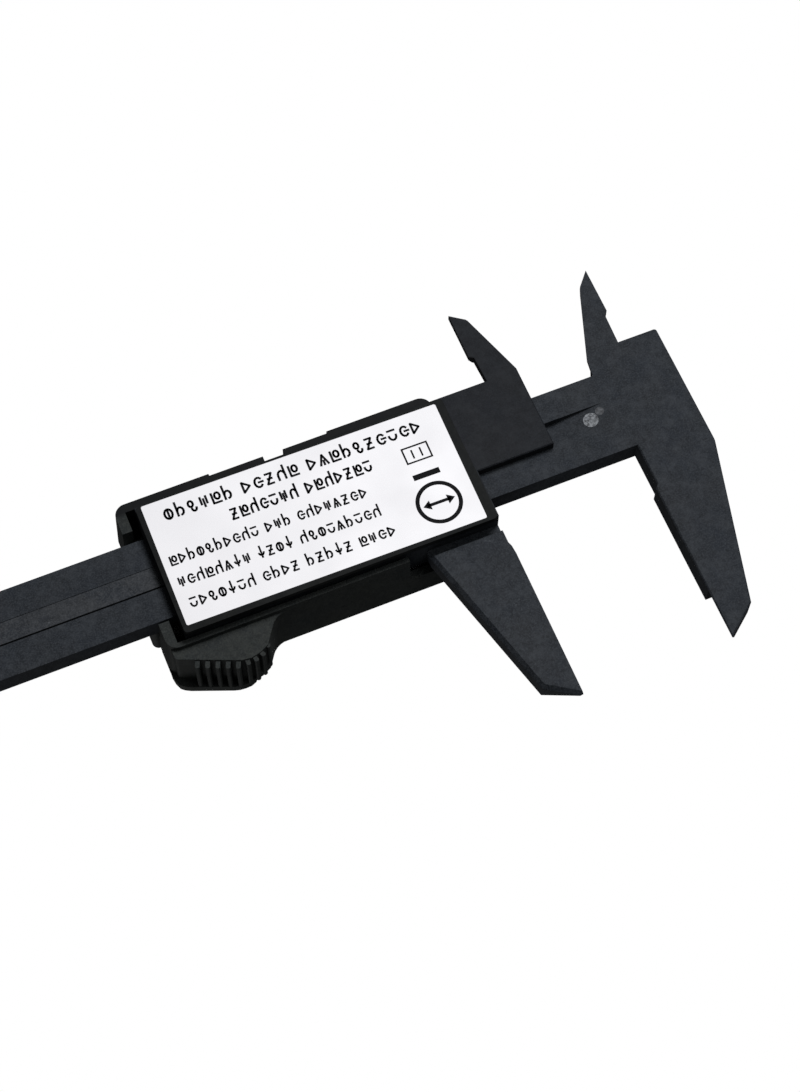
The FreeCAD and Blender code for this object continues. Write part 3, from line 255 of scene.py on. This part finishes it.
def plain_plastic(name, colour, roughness):
    """Unfilled moulded plastic: a fine spark-eroded grain."""
    paint = Paint(name, colour, roughness)
    grain = paint.noise(0.2 * MM, detail=2.0)
    cloud = paint.noise(4 * MM, detail=2.0)
    paint.tint(paint.between(cloud, 0.0, 0.4), scaled(colour, 0.85))
    paint.roughen(grain, roughness - 0.06, roughness + 0.08)
    paint.bump(grain, 0.008 * MM, strength=0.6, edge=0.15 * MM)
    return paint.material


def layered_rubber(name):
    """Elastomer strip: thin dark conducting layers in pink rubber."""
    paint = Paint(name, (0.5, 0.16, 0.22), 0.6)
    layers = paint.noise(0.12 * MM, detail=0.0, vector=paint.stretch(1.0, 0.02, 0.02))
    paint.tint(paint.between(layers, 0.0, 1.0, 0.48, 0.52), (0.03, 0.03, 0.035))
    paint.bump(layers, 0.01 * MM)
    return paint.material


def display_glass(name):
    """Reflective liquid crystal: grey-green with a fine pixel haze."""
    paint = Paint(name, (0.42, 0.46, 0.40), 0.22)
    haze = paint.noise(6 * MM, detail=2.0)
    fine = paint.noise(0.15 * MM, detail=1.0)
    paint.tint(paint.between(haze, 0.0, 0.5), (0.36, 0.41, 0.36))
    paint.tint(paint.between(fine, 0.0, 0.12), (0.6, 0.64, 0.58))
    paint.bump(fine, 0.001 * MM, strength=0.4, edge=0.05 * MM)
    return paint.material


def clear_plastic(name):
    """Clear acrylic window, nearly invisible but for its gloss."""
    paint = Paint(name, (0.2, 0.21, 0.22), 0.05)
    paint.shader.inputs["Alpha"].default_value = 0.08
    scratches = paint.noise(0.5 * MM, detail=2.0, vector=paint.stretch(0.1, 1.0, 1.0))
    paint.roughen(scratches, 0.03, 0.1)
    paint.bump(scratches, 0.002 * MM, strength=0.3)
    return paint.material


def ink(name, colour, roughness=0.5):
    """Screen-printed ink with slightly uneven cover."""
    paint = Paint(name, colour, roughness, specular=0.05)
    cover = paint.noise(0.3 * MM, detail=2.0)
    paint.tint(paint.between(cover, 0.0, 0.3), tuple(value * 1.6 + 0.002 for value in colour))
    paint.bump(cover, 0.002 * MM, strength=0.3)
    return paint.material


def scuffed_plastic(name, colour, scuffs):
    """Scuffed skin of an ejector mark, with scuffs of a paler colour."""
    paint = Paint(name, colour, 0.6, specular=0.15)
    marks = paint.noise(0.5 * MM, detail=4.0, rough=0.7)
    paint.tint(paint.between(marks, 0.0, 1.0, 0.42, 0.62), scuffs)
    paint.tint(paint.between(marks, 0.9, 0.0, 0.36, 0.5), (0.03, 0.031, 0.035))
    paint.bump(marks, 0.04 * MM)
    return paint.material


FILLED_DARK = (0.015, 0.0167, 0.0195)
FILLED_LIGHT = (0.041, 0.0455, 0.052)
JAW = filled_plastic("jaw_plastic_look", FILLED_DARK, FILLED_LIGHT, 0.6)
# The slider's web, with its tongue and inside jaw, stands out past the beam's back; painted shade
# darkens it there.
SLIDE_WITH_PAINTED_SHADE = filled_plastic("slider_plastic_painted_shade_look", FILLED_DARK, FILLED_LIGHT, 0.55)
darken_past(SLIDE_WITH_PAINTED_SHADE, "Z", 3.05 * MM, 2.95 * MM, 0.55)
# Painted shade darkens the housing's rim on the inside jaws' side.
HOUSING_WITH_PAINTED_SHADE = filled_plastic(
    "housing_plastic_painted_shade_look", (0.0165, 0.018, 0.0172), (0.036, 0.039, 0.037), 0.55, 0.6)
darken_past(HOUSING_WITH_PAINTED_SHADE, "Y", 22.8 * MM, 23.8 * MM, 0.8)
# The back plate gets a darker copy of the filled plastic, as painted shade.
PLATE_PAINTED_SHADE = filled_plastic(
    "plate_plastic_painted_shade_look", (0.006, 0.0065, 0.0065), (0.014, 0.015, 0.0145), 0.55, 0.4)
ROD = filled_plastic("rod_plastic_look", (0.021, 0.0225, 0.025), (0.052, 0.055, 0.06), 0.6, 0.6)
LABEL = printed_film("label_film_look", (0.71, 0.705, 0.73), 0.5)
SCALE = silver_film("scale_print_look", (0.42, 0.43, 0.44))
FRONT = printed_film("front_print_look", (0.12, 0.125, 0.135), 0.42)
BOARD = laminate("board_laminate_look")
SCREW = sheet_metal("screw_steel_look", (0.42, 0.42, 0.44), 0.34)
SPRING = sheet_metal("spring_steel_look", (0.68, 0.62, 0.46), 0.28)
BRASS = sheet_metal("gib_brass_look", (0.66, 0.47, 0.2), 0.3)
CHIP = plain_plastic("chip_resin_look", (0.015, 0.015, 0.016), 0.5)
GLASS = display_glass("lcd_glass_look")
WINDOW = clear_plastic("clear_window_look")
HOLDER = plain_plastic("holder_plastic_look", (0.62, 0.62, 0.6), 0.5)
CONNECTOR = layered_rubber("connector_rubber_look")
CELL = sheet_metal("cell_steel_look", (0.72, 0.72, 0.7), 0.22, (1.0, 1.0, 0.1))
BUTTON = plain_plastic("button_plastic_look", (0.2, 0.21, 0.225), 0.5)
BLACK_INK = ink("black_ink_look", (0.002, 0.002, 0.003), 0.6)
PALE_INK = ink("pale_ink_look", (0.55, 0.56, 0.58))
SEGMENT = ink("lcd_segment_look", (0.02, 0.024, 0.022), 0.35)
SCUFFED = scuffed_plastic("ejector_mark_look", (0.075, 0.08, 0.088), (0.2, 0.213, 0.227))
LIGHTLY_SCUFFED = scuffed_plastic(
    "small_ejector_mark_look", (0.028, 0.030, 0.034), (0.075, 0.08, 0.088))

LOOKS = {
    "jaw_plastic": JAW,
    "housing_plastic": HOUSING_WITH_PAINTED_SHADE,
    "rod_plastic": ROD,
    "label_film": LABEL,
    "scale_print": SCALE,
    "front_print": FRONT,
    "board_laminate": BOARD,
    "screw_steel": SCREW,
    "spring_steel": SPRING,
    "gib_brass": BRASS,
    "chip_resin": CHIP,
    "lcd_glass": GLASS,
    "clear_window": WINDOW,
    "holder_plastic": HOLDER,
    "connector_rubber": CONNECTOR,
    "cell_steel": CELL,
    "button_plastic": BUTTON,
}

# Nodes with copies of their slot's look that carry painted shade.
OWN_LOOKS = {
    "slider_frame": SLIDE_WITH_PAINTED_SHADE,
    "back_plate": PLATE_PAINTED_SHADE,
}


def dress_nodes():
    """Give every CAD node the look of its material slot."""
    for row in frame["record"]["subparts"]:
        mesh = frame["nodes"][row["node"]].data
        look = OWN_LOOKS.get(row["node"], LOOKS[row["material_slot"]])
        for index in range(len(mesh.materials)):
            mesh.materials[index] = look
        if not mesh.materials:
            mesh.materials.append(look)


# ---------------------------------------------------------------- small printed pieces

# Thickness to each side and steps per curve of the written numbers.
NUMBER_EXTRUDE = 0.006 * MM
NUMBER_STEPS = 3


class Stencil:
    """Flat shapes gathered into one thin printed piece."""

    def __init__(self, level, thick):
        self.bm = bmesh.new()
        self.level = level
        self.thick = thick

    def shape(self, outline):
        """A prism over one closed outline, in XY."""
        low = [self.bm.verts.new((x, y, self.level)) for x, y in outline]
        high = [self.bm.verts.new((x, y, self.level + self.thick)) for x, y in outline]
        self.bm.faces.new(high)
        self.bm.faces.new(list(reversed(low)))
        count = len(outline)
        for index in range(count):
            after = (index + 1) % count
            self.bm.faces.new((low[index], low[after], high[after], high[index]))

    def bar(self, x_low, x_high, y_low, y_high):
        """A straight bar along X or Y."""
        self.shape([(x_low, y_low), (x_high, y_low), (x_high, y_high), (x_low, y_high)])

    def ring(self, x, y, outer, inner, steps=48):
        """A flat ring, made of short prisms between two circles."""
        for step in range(steps):
            turns = [2 * math.pi * (step + more) / steps for more in (0, 1)]
            near = [(x + inner * math.cos(t), y + inner * math.sin(t)) for t in turns]
            far = [(x + outer * math.cos(t), y + outer * math.sin(t)) for t in turns]
            self.shape([near[0], far[0], far[1], near[1]])

    def disc(self, x, y, radius, steps=40):
        """A round spot."""
        turns = [2 * math.pi * step / steps for step in range(steps)]
        self.shape([(x + radius * math.cos(t), y + radius * math.sin(t)) for t in turns])

    def piece(self, name, look, body, slot, turn=0.0, about=(0.0, 0.0)):
        """Close the stencil into an object that rides on a body."""
        bmesh.ops.remove_doubles(self.bm, verts=self.bm.verts, dist=1e-7)
        bmesh.ops.recalc_face_normals(self.bm, faces=self.bm.faces)
        if turn:
            centre = Vector((about[0], about[1], 0.0))
            bmesh.ops.rotate(self.bm, verts=self.bm.verts, cent=centre,
                             matrix=Matrix.Rotation(turn, 3, "Z"))
        mesh = bpy.data.meshes.new(name)
        self.bm.to_mesh(mesh)
        self.bm.free()
        mesh.materials.append(look)
        piece = bpy.data.objects.new(name, mesh)
        bpy.context.scene.collection.objects.link(piece)
        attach(piece, body)
        return piece


def write_numbers(name, words, height, level, look, body):
    """Numbers or a unit at their places, as one thin mesh. words holds (text, x, y)."""
    bm = bmesh.new()
    for text, x, y in words:
        curve = bpy.data.curves.new("number", "FONT")
        curve.body = text
        curve.size = height
        curve.align_x = "CENTER"
        curve.align_y = "CENTER"
        curve.extrude = NUMBER_EXTRUDE
        curve.resolution_u = NUMBER_STEPS
        letter = bpy.data.objects.new("number", curve)
        mesh = bpy.data.meshes.new_from_object(letter)
        mesh.transform(Matrix.Translation((x, y, level)))
        bm.from_mesh(mesh)
        bpy.data.objects.remove(letter)
    bmesh.ops.recalc_face_normals(bm, faces=bm.faces)
    mesh = bpy.data.meshes.new(name)
    bm.to_mesh(mesh)
    bm.free()
    mesh.materials.append(look)
    piece = bpy.data.objects.new(name, mesh)
    bpy.context.scene.collection.objects.link(piece)
    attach(piece, body)


# ---------------------------------------------------------------- back label

LABEL_LONG = 55.8 * MM
LABEL_HIGH = 24.4 * MM
LABEL_SKEW = math.radians(0.6)
PRINT_RISE = 0.012 * MM

# Made-up signs in a unit box, each a list of strokes. A stroke is the points of a line, or a
# centre, a radius and the degrees that an arc starts and ends at. None is a letter.
SIGNS = [
    [((0.1, 0.7), (0.1, 0.0), (0.8, 0.0)), (0.55, 0.45, 0.22, 0, 360)],
    [(0.45, 0.35, 0.33, 40, 320), ((0.45, 0.35), (0.85, 0.35))],
    [((0.1, 0.0), (0.1, 0.95)), (0.38, 0.28, 0.26, -90, 170)],
    [((0.05, 0.0), (0.4, 0.7), (0.75, 0.0)), ((0.4, 0.0), (0.4, 0.3))],
    [(0.4, 0.35, 0.32, 180, 360), ((0.08, 0.7), (0.72, 0.7))],
    [(0.4, 0.35, 0.33, 0, 360), ((0.4, 0.02), (0.4, 0.68))],
    [((0.1, 0.7), (0.65, 0.7), (0.1, 0.0), (0.65, 0.0)), ((0.2, 0.35), (0.6, 0.35))],
    [(0.3, 0.5, 0.2, 0, 360), (0.5, 0.18, 0.2, 180, 360)],
    [((0.4, 0.0), (0.4, 0.95)), (0.4, 0.5, 0.3, 200, 340)],
    [((0.1, 0.0), (0.1, 0.7), (0.7, 0.35), (0.1, 0.0))],
    [(0.4, 0.3, 0.3, 0, 180), ((0.1, 0.3), (0.1, 0.0)), ((0.7, 0.95), (0.7, 0.0))],
    [((0.15, 0.7), (0.15, 0.2)), ((0.4, 0.55), (0.4, 0.0)), ((0.65, 0.7), (0.65, 0.2))],
]

# A stroke's width as a share of the sign's height. A sign's width and the gap between words as
# shares of the signs' pitch.
SIGN_STROKE = 0.145
SIGN_WIDE = 0.95
WORD_GAP = 0.6

# How far the bars of a stroke run past their ends, as a share of half their width, so that they
# join. Degrees from one point of an arc to the next.
BAR_OVERRUN = 0.6
ARC_STEP = 24

# The label's lines, in millimetres: start from the reader's left edge, base below the top edge,
# length and height of the signs. Then how many signs each word has.
LABEL_LINES = [
    (3.3, 4.15, 48.8, 2.9, (6, 5, 10)),
    (14.2, 8.3, 26.9, 2.8, (7, 7)),
    (1.3, 12.75, 37.0, 2.4, (10, 3, 8)),
    (1.3, 17.1, 37.9, 2.4, (8, 4, 9)),
    (1.9, 21.5, 38.4, 2.4, (7, 4, 5, 4)),
]


def arc_points(middle_x, middle_y, radius, start, finish):
    """Points along an arc that starts and ends at the given degrees."""
    steps = max(6, int(abs(finish - start) / ARC_STEP))
    points = []
    for step in range(steps + 1):
        turn = math.radians(start + (finish - start) * step / steps)
        points.append((middle_x + radius * math.cos(turn), middle_y + radius * math.sin(turn)))
    return points


def draw_stroke(stencil, stroke, left, base, wide, height):
    """One stroke of a sign, as short bars laid end to end; left is the reader's left."""
    is_line = isinstance(stroke[0], tuple)
    points = stroke if is_line else arc_points(*stroke)
    places = [Vector((left - x * wide, base + y * height)) for x, y in points]
    half = SIGN_STROKE * height / 2
    for near, far in zip(places, places[1:]):
        run = (far - near).normalized() * half
        side = Vector((-run.y, run.x))
        near = near - run * BAR_OVERRUN
        far = far + run * BAR_OVERRUN
        stencil.shape([near - side, far - side, far + side, near + side])


def sign_line(stencil, left, base, length, height, words):
    """A line of made-up signs in words of the given lengths; left is the reader's left."""
    pitch = length / (sum(words) + (len(words) - 1) * WORD_GAP)
    spot = left
    last = None
    for word in words:
        for _ in range(word):
            sign = random.choice([choice for choice in SIGNS if choice is not last])
            last = sign
            for stroke in sign:
                draw_stroke(stencil, stroke, spot, base, pitch * SIGN_WIDE, height)
            spot -= pitch
        spot -= pitch * WORD_GAP


def draw_cell_sign(stencil, x, y):
    """A box with the cell's two plates in it."""
    wall = 0.32 * MM
    half = 2.5 * MM
    tall = 1.7 * MM
    plate_out = 0.8 * MM
    plate_tall = 0.9 * MM
    stencil.bar(x - half, x + half, y + tall - wall, y + tall)
    stencil.bar(x - half, x + half, y - tall, y - tall + wall)
    for side in (-1, 1):
        edge = x + side * (half - wall / 2)
        stencil.bar(edge - wall / 2, edge + wall / 2, y - tall + wall, y + tall - wall)
        plate = x + side * plate_out
        stencil.bar(plate - wall / 2, plate + wall / 2, y - plate_tall, y + plate_tall)


def draw_ring_sign(stencil, x, y):
    """A ring with a double arrow in it."""
    shaft_long = 2.2 * MM
    shaft_thin = 0.3 * MM
    arrow_out = 3.0 * MM
    arrow_root = 1.6 * MM
    arrow_spread = 0.95 * MM
    stencil.ring(x, y, 4.2 * MM, 3.45 * MM)
    stencil.bar(x - shaft_long, x + shaft_long, y - shaft_thin, y + shaft_thin)
    for side in (-1, 1):
        tip = x + side * arrow_out
        back = x + side * arrow_root
        stencil.shape([(tip, y), (back, y + arrow_spread), (back, y - arrow_spread)])


def make_label_sheet():
    """The label's white sheet, set back from the CAD label's face by the height of its print."""
    low, high = corners("back_label")
    middle = (low + high) / 2
    round_off = 0.35 * MM
    steps = 5
    outline = []
    for number, (side_x, side_y) in enumerate([(1, 1), (-1, 1), (-1, -1), (1, -1)]):
        centre_x = middle.x + side_x * (LABEL_LONG / 2 - round_off)
        centre_y = middle.y + side_y * (LABEL_HIGH / 2 - round_off)
        for step in range(steps + 1):
            turn = math.pi / 2 * (number + step / steps)
            outline.append((centre_x + round_off * math.cos(turn),
                            centre_y + round_off * math.sin(turn)))
    sheet = Stencil(low.z + PRINT_RISE, high.z - low.z - PRINT_RISE)
    sheet.shape(outline)
    piece = sheet.piece("label_sheet", LABEL, SLIDER, "label_film", LABEL_SKEW,
                        (middle.x, middle.y))
    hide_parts("back_label")


def make_label_print():
    """Print of the back label: lines of made-up signs, a cell sign, a bar and a ring sign."""
    random.seed(7)
    low, high = corners("back_label")
    middle = (low + high) / 2
    left = middle.x + LABEL_LONG / 2
    top = middle.y + LABEL_HIGH / 2
    stencil = Stencil(low.z, PRINT_RISE + 0.004 * MM)
    for start, base, length, height, words in LABEL_LINES:
        sign_line(stencil, left - start * MM, top - base * MM, length * MM, height * MM, words)

    sign_x = left - 49.1 * MM
    bar_half = 2.5 * MM
    draw_cell_sign(stencil, sign_x, top - 8.0 * MM)
    stencil.bar(sign_x - bar_half, sign_x + bar_half, top - 13.1 * MM, top - 12.0 * MM)
    draw_ring_sign(stencil, sign_x, top - 18.5 * MM)
    stencil.piece("label_print", BLACK_INK, SLIDER, "label_film", LABEL_SKEW,
                  (middle.x, middle.y))


# ---------------------------------------------------------------- scale on the front

INCH = 25.4 * MM
INCH_PARTS = 16
TOP_MILLIMETRE = 150
TOP_INCH = 5

# Long, middling and short marks, in millimetres.
METRIC_MARKS = (3.0, 2.3, 1.6)
INCH_MARKS = (2.8, 2.1, 1.4)


def mark_length(count, whole, lengths):
    """Length of a scale mark: long at each whole count, middling at each half, else short."""
    long, middling, short = lengths
    if count % whole == 0:
        return long * MM
    if count % (whole // 2) == 0:
        return middling * MM
    return short * MM


def make_scale_print():
    """Millimetre marks and numbers along the lower edge, inch marks along the upper edge."""
    low, high = corners("scale_film")
    end_margin = 0.9 * MM
    zero = low.x + end_margin
    level = high.z
    half_wide = 0.11 * MM
    edge_gap = 0.15 * MM
    marks = Stencil(level - 0.01 * MM, 0.015 * MM)
    for count in range(TOP_MILLIMETRE + 1):
        x = zero + count * MM
        tall = mark_length(count, 10, METRIC_MARKS)
        marks.bar(x - half_wide, x + half_wide, low.y + edge_gap, low.y + tall)
    last_part = int(TOP_MILLIMETRE * MM * INCH_PARTS / INCH)
    for count in range(last_part + 1):
        x = zero + count * INCH / INCH_PARTS
        tall = mark_length(count, INCH_PARTS, INCH_MARKS)
        marks.bar(x - half_wide, x + half_wide, high.y - tall, high.y - edge_gap)
    marks.piece("scale_marks", BLACK_INK, BEAM, "scale_print")

    metric_inset = 4.1 * MM
    inch_inset = 4.0 * MM
    number_high = 2.3 * MM
    words = []
    for count in range(10, TOP_MILLIMETRE + 1, 10):
        words.append((str(count), zero + count * MM, low.y + metric_inset))
    for count in range(1, TOP_INCH + 1):
        words.append((str(count), zero + count * INCH, high.y - inch_inset))
    write_numbers("scale_numbers", words, number_high, level + 0.001 * MM, BLACK_INK, BEAM)


# ---------------------------------------------------------------- display

# Segments that are lit for each figure: top, upper left, upper right, middle, lower left,
# lower right, bottom.
FIGURES = {
    "0": "1110111",
    "2": "1011101",
    "8": "1111111",
}


def figure(stencil, text, x, y, wide, tall, bar):
    """One seven-segment figure with its lower left corner at x, y."""
    half = tall / 2
    gap = bar * 0.16
    point = bar * 0.5
    # The left and lower side of each segment, and whether it lies level.
    segments = [
        (x, y + tall - bar, True),
        (x, y + half, False),
        (x + wide - bar, y + half, False),
        (x, y + half - bar / 2, True),
        (x, y, False),
        (x + wide - bar, y, False),
        (x, y, True),
    ]
    for lit, (left, low, level) in zip(FIGURES[text], segments):
        if lit == "0":
            continue
        if level:
            start = left + gap + point
            finish = left + wide - gap - point
            middle = low + bar / 2
            stencil.shape([(start - point, middle), (start, low), (finish, low),
                           (finish + point, middle), (finish, low + bar), (start, low + bar)])
        else:
            start = low + gap + point
            finish = low + half - gap - point
            middle = left + bar / 2
            stencil.shape([(middle, start - point), (left + bar, start), (left + bar, finish),
                           (middle, finish + point), (left, finish), (left, start)])


def make_reading():
    """Figures on the display that give the jaws' opening at rest, and its unit."""
    low, high = corners("lcd_glass")
    stencil = Stencil(high.z + 0.005 * MM, 0.02 * MM)
    tall = 7.6 * MM
    wide = 4.0 * MM
    bar = 0.8 * MM
    figure_gap = 1.2 * MM
    dot = 0.5 * MM
    dot_room = 1.3 * MM
    left_room = 6.0 * MM
    unit_high = 3.0 * MM
    base = (low.y + high.y) / 2 - tall / 2
    x = low.x + left_room
    for text in "28.0":
        if text == ".":
            stencil.disc(x + 0.15 * MM, base + dot, dot, 16)
            x += dot_room
        else:
            figure(stencil, text, x, base, wide, tall, bar)
            x += wide + figure_gap
    stencil.piece("lcd_figures", SEGMENT, SLIDER, "lcd_glass")
    write_numbers("lcd_unit", [("mm", x + 1.8 * MM, base + 1.2 * MM)], unit_high,
                  high.z + 0.015 * MM, SEGMENT, SLIDER)


def make_window_frame():
    """Thin frame line round the display's window, on the front film."""
    level = corners("front_overlay")[1].z - 0.002 * MM
    glass_low, glass_high = corners("lcd_glass")
    stencil = Stencil(level, 0.012 * MM)
    line = 0.3 * MM
    window_inset = 1.0 * MM
    out = 0.5 * MM
    x_low = glass_low.x + window_inset - out
    x_high = glass_high.x - window_inset + out
    y_low = glass_low.y + window_inset - out
    y_high = glass_high.y - window_inset + out
    stencil.bar(x_low - line, x_high + line, y_low - line, y_low)
    stencil.bar(x_low - line, x_high + line, y_high, y_high + line)
    stencil.bar(x_low - line, x_low, y_low, y_high)
    stencil.bar(x_high, x_high + line, y_low, y_high)
    stencil.piece("front_lines", PALE_INK, SLIDER, "front_print")


def draw_power_sign(sign, x, y):
    """A ring with a bar in its top."""
    sign.ring(x, y, 0.95 * MM, 0.68 * MM, 32)
    sign.bar(x - 0.14 * MM, x + 0.14 * MM, y + 0.2 * MM, y + 1.25 * MM)


def draw_zero_sign(sign, x, y):
    """A nought."""
    wide = 1.4 * MM
    tall = 2.4 * MM
    figure(sign, "0", x - wide / 2, y - tall / 2, wide, tall, 0.3 * MM)


def draw_unit_sign(sign, x, y):
    """Two arrows that point away from each other, for the change of unit."""
    head_spread = 0.55 * MM
    shaft_half = 0.12 * MM
    for side in (-1, 1):
        tip = x + side * 2.0 * MM
        back = x + side * 1.0 * MM
        tail = x - side * 1.2 * MM
        rise = y + side * 0.45 * MM
        sign.shape([(tip, rise), (back, rise + head_spread), (back, rise - head_spread)])
        sign.bar(min(back, tail), max(back, tail), rise - shaft_half, rise + shaft_half)


def make_button_signs():
    """A printed sign on each button, which rides on it."""
    for name, draw in (
        ("button_power", draw_power_sign),
        ("button_zero", draw_zero_sign),
        ("button_unit", draw_unit_sign),
    ):
        low, high = corners(name)
        middle = (low + high) / 2
        sign = Stencil(high.z - 0.02 * MM, 0.02 * MM)
        draw(sign, middle.x, middle.y)
        sign.piece(name + "_sign", PALE_INK, name + "_body", "button_plastic")


# ---------------------------------------------------------------- beam details

def make_ejector_marks():
    """Two round ejector marks on the sloping closed end of the depth rod's groove."""
    rod_low, rod_high = corners("depth_rod")
    film_inset = 4.0 * MM
    slope_inset = 1.9 * MM
    groove_deep = 1.6
    slope_long = 10.3
    face_x = corners("scale_film")[0].x - film_inset
    slope_top = Vector((face_x + slope_inset,
                        (rod_low.y + rod_high.y) / 2 - 0.25 * MM,
                        corners("beam")[0].z))
    slope = math.atan2(groove_deep, slope_long)
    tilt = Matrix.Translation(slope_top) @ Matrix.Rotation(-slope, 4, "Y")
    # Piece and look, then the place along and across the slope and the radius, in millimetres.
    for name, look, x, y, radius in (
        ("ejector_mark", SCUFFED, 3.0, -0.05, 1.4),
        ("small_ejector_mark", LIGHTLY_SCUFFED, 0.85, 0.9, 0.8),
    ):
        mark = Stencil(-0.012 * MM, 0.03 * MM)
        mark.disc(x * MM, y * MM, radius * MM)
        bmesh.ops.transform(mark.bm, verts=mark.bm.verts, matrix=tilt)
        mark.piece(name, look, BEAM, "jaw_plastic")


# ---------------------------------------------------------------- studio

WHITE = (1.0, 1.0, 1.0, 1.0)

# The floor in metres: half its side, its gap under the caliper, and where it starts to fade
# into the room and has gone.
FLOOR_HALF = 3.0
FLOOR_GAP = 0.1 * MM
FADE_START = 0.2
FADE_END = 0.55


def make_camera():
    """The photograph's view: from below and from the outside jaws' side."""
    data = bpy.data.cameras.new("camera")
    data.lens = 75.14
    data.sensor_width = 36.0
    data.clip_start = 0.01
    data.clip_end = 20.0
    camera = bpy.data.objects.new("camera", data)
    bpy.context.scene.collection.objects.link(camera)
    spot = Vector((-3.84, -158.77, -358.49)) * MM
    aim = Vector((-71.01, -0.8, 3.0)) * MM
    upward = Vector((-0.3433, 0.8356, -0.4289))
    back = (spot - aim).normalized()
    right = upward.cross(back).normalized()
    upward = back.cross(right)
    turn = Matrix((right, upward, back)).transposed().to_4x4()
    camera.matrix_world = Matrix.Translation(spot) @ turn
    bpy.context.scene.camera = camera


def area_light(name, spot, aim, size, power):
    """A soft square light at a spot, aimed at a point."""
    data = bpy.data.lights.new(name, "AREA")
    data.energy = power
    data.size = size
    light = bpy.data.objects.new(name, data)
    light.location = spot
    light.rotation_euler = (Vector(aim) - Vector(spot)).to_track_quat("-Z", "Y").to_euler()
    bpy.context.scene.collection.objects.link(light)
    return light


def make_lights(middle):
    """A key and a fill on the back's side, where the camera is, and a pair on the display's side."""
    area_light("key_below", (-0.3, 0.2, -0.68), middle, 0.26, 5.8)
    area_light("fill_below", (-0.4, -0.22, -0.7), middle, 0.5, 1.4)
    key_above = area_light("key_above", (-0.3, 0.35, 0.65), middle, 0.5, 6.5)
    key_above.visible_glossy = False
    area_light("fill_above", (0.5, -0.35, 0.6), middle, 0.7, 1.7)


def make_room():
    """A white room round everything, which itself lights the object only a little."""
    world = bpy.data.worlds.new("room")
    bpy.context.scene.world = world
    world.use_nodes = True
    tree = world.node_tree
    background = tree.nodes["Background"]
    background.inputs["Color"].default_value = WHITE
    background.inputs["Strength"].default_value = 0.1
    seen = tree.nodes.new("ShaderNodeBackground")
    seen.inputs["Color"].default_value = WHITE
    seen.inputs["Strength"].default_value = 1.0
    path = tree.nodes.new("ShaderNodeLightPath")
    mix = tree.nodes.new("ShaderNodeMixShader")
    tree.links.new(path.outputs["Is Camera Ray"], mix.inputs[0])
    tree.links.new(background.outputs[0], mix.inputs[1])
    tree.links.new(seen.outputs[0], mix.inputs[2])
    tree.links.new(mix.outputs[0], tree.nodes["World Output"].inputs["Surface"])


def floor_look():
    """Pale and matt, seen only from above, and fading into the white room further out."""
    material = bpy.data.materials.new("floor_look")
    material.use_nodes = True
    tree = material.node_tree
    pale = tree.nodes["Principled BSDF"]
    pale.inputs["Base Color"].default_value = (0.82, 0.82, 0.82, 1.0)
    pale.inputs["Roughness"].default_value = 0.8
    clear = tree.nodes.new("ShaderNodeBsdfTransparent")
    side = tree.nodes.new("ShaderNodeNewGeometry")
    place = tree.nodes.new("ShaderNodeTexCoord")
    reach = tree.nodes.new("ShaderNodeVectorMath")
    reach.operation = "LENGTH"
    tree.links.new(place.outputs["Object"], reach.inputs[0])
    fade = tree.nodes.new("ShaderNodeMapRange")
    fade.inputs["From Min"].default_value = FADE_START
    fade.inputs["From Max"].default_value = FADE_END
    tree.links.new(reach.outputs["Value"], fade.inputs["Value"])
    either = tree.nodes.new("ShaderNodeMath")
    either.operation = "MAXIMUM"
    tree.links.new(side.outputs["Backfacing"], either.inputs[0])
    tree.links.new(fade.outputs["Result"], either.inputs[1])
    mix = tree.nodes.new("ShaderNodeMixShader")
    tree.links.new(either.outputs["Value"], mix.inputs[0])
    tree.links.new(pale.outputs[0], mix.inputs[1])
    tree.links.new(clear.outputs[0], mix.inputs[2])
    tree.links.new(mix.outputs[0], tree.nodes["Material Output"].inputs["Surface"])
    return material


def make_floor(middle):
    """The floor just under the caliper, which casts nothing on it."""
    bm = bmesh.new()
    bmesh.ops.create_grid(bm, x_segments=1, y_segments=1, size=FLOOR_HALF)
    mesh = bpy.data.meshes.new("floor")
    bm.to_mesh(mesh)
    bm.free()
    mesh.materials.append(floor_look())
    floor = bpy.data.objects.new("floor", mesh)
    floor.location = (middle.x, middle.y, cad_low.z - FLOOR_GAP)
    bpy.context.scene.collection.objects.link(floor)
    floor.visible_shadow = False
    floor.visible_diffuse = False
    floor.visible_glossy = False
    floor.visible_transmission = False


def make_studio():
    """Soft lights on both sides, a white room and a pale floor."""
    middle = (cad_low + cad_high) / 2
    make_lights(middle)
    make_room()
    make_floor(middle)
    bpy.context.scene.view_settings.view_transform = "Standard"


dress_nodes()
make_label_sheet()
make_label_print()
make_scale_print()
make_reading()
make_window_frame()
make_button_signs()
make_ejector_marks()
make_camera()
make_studio()
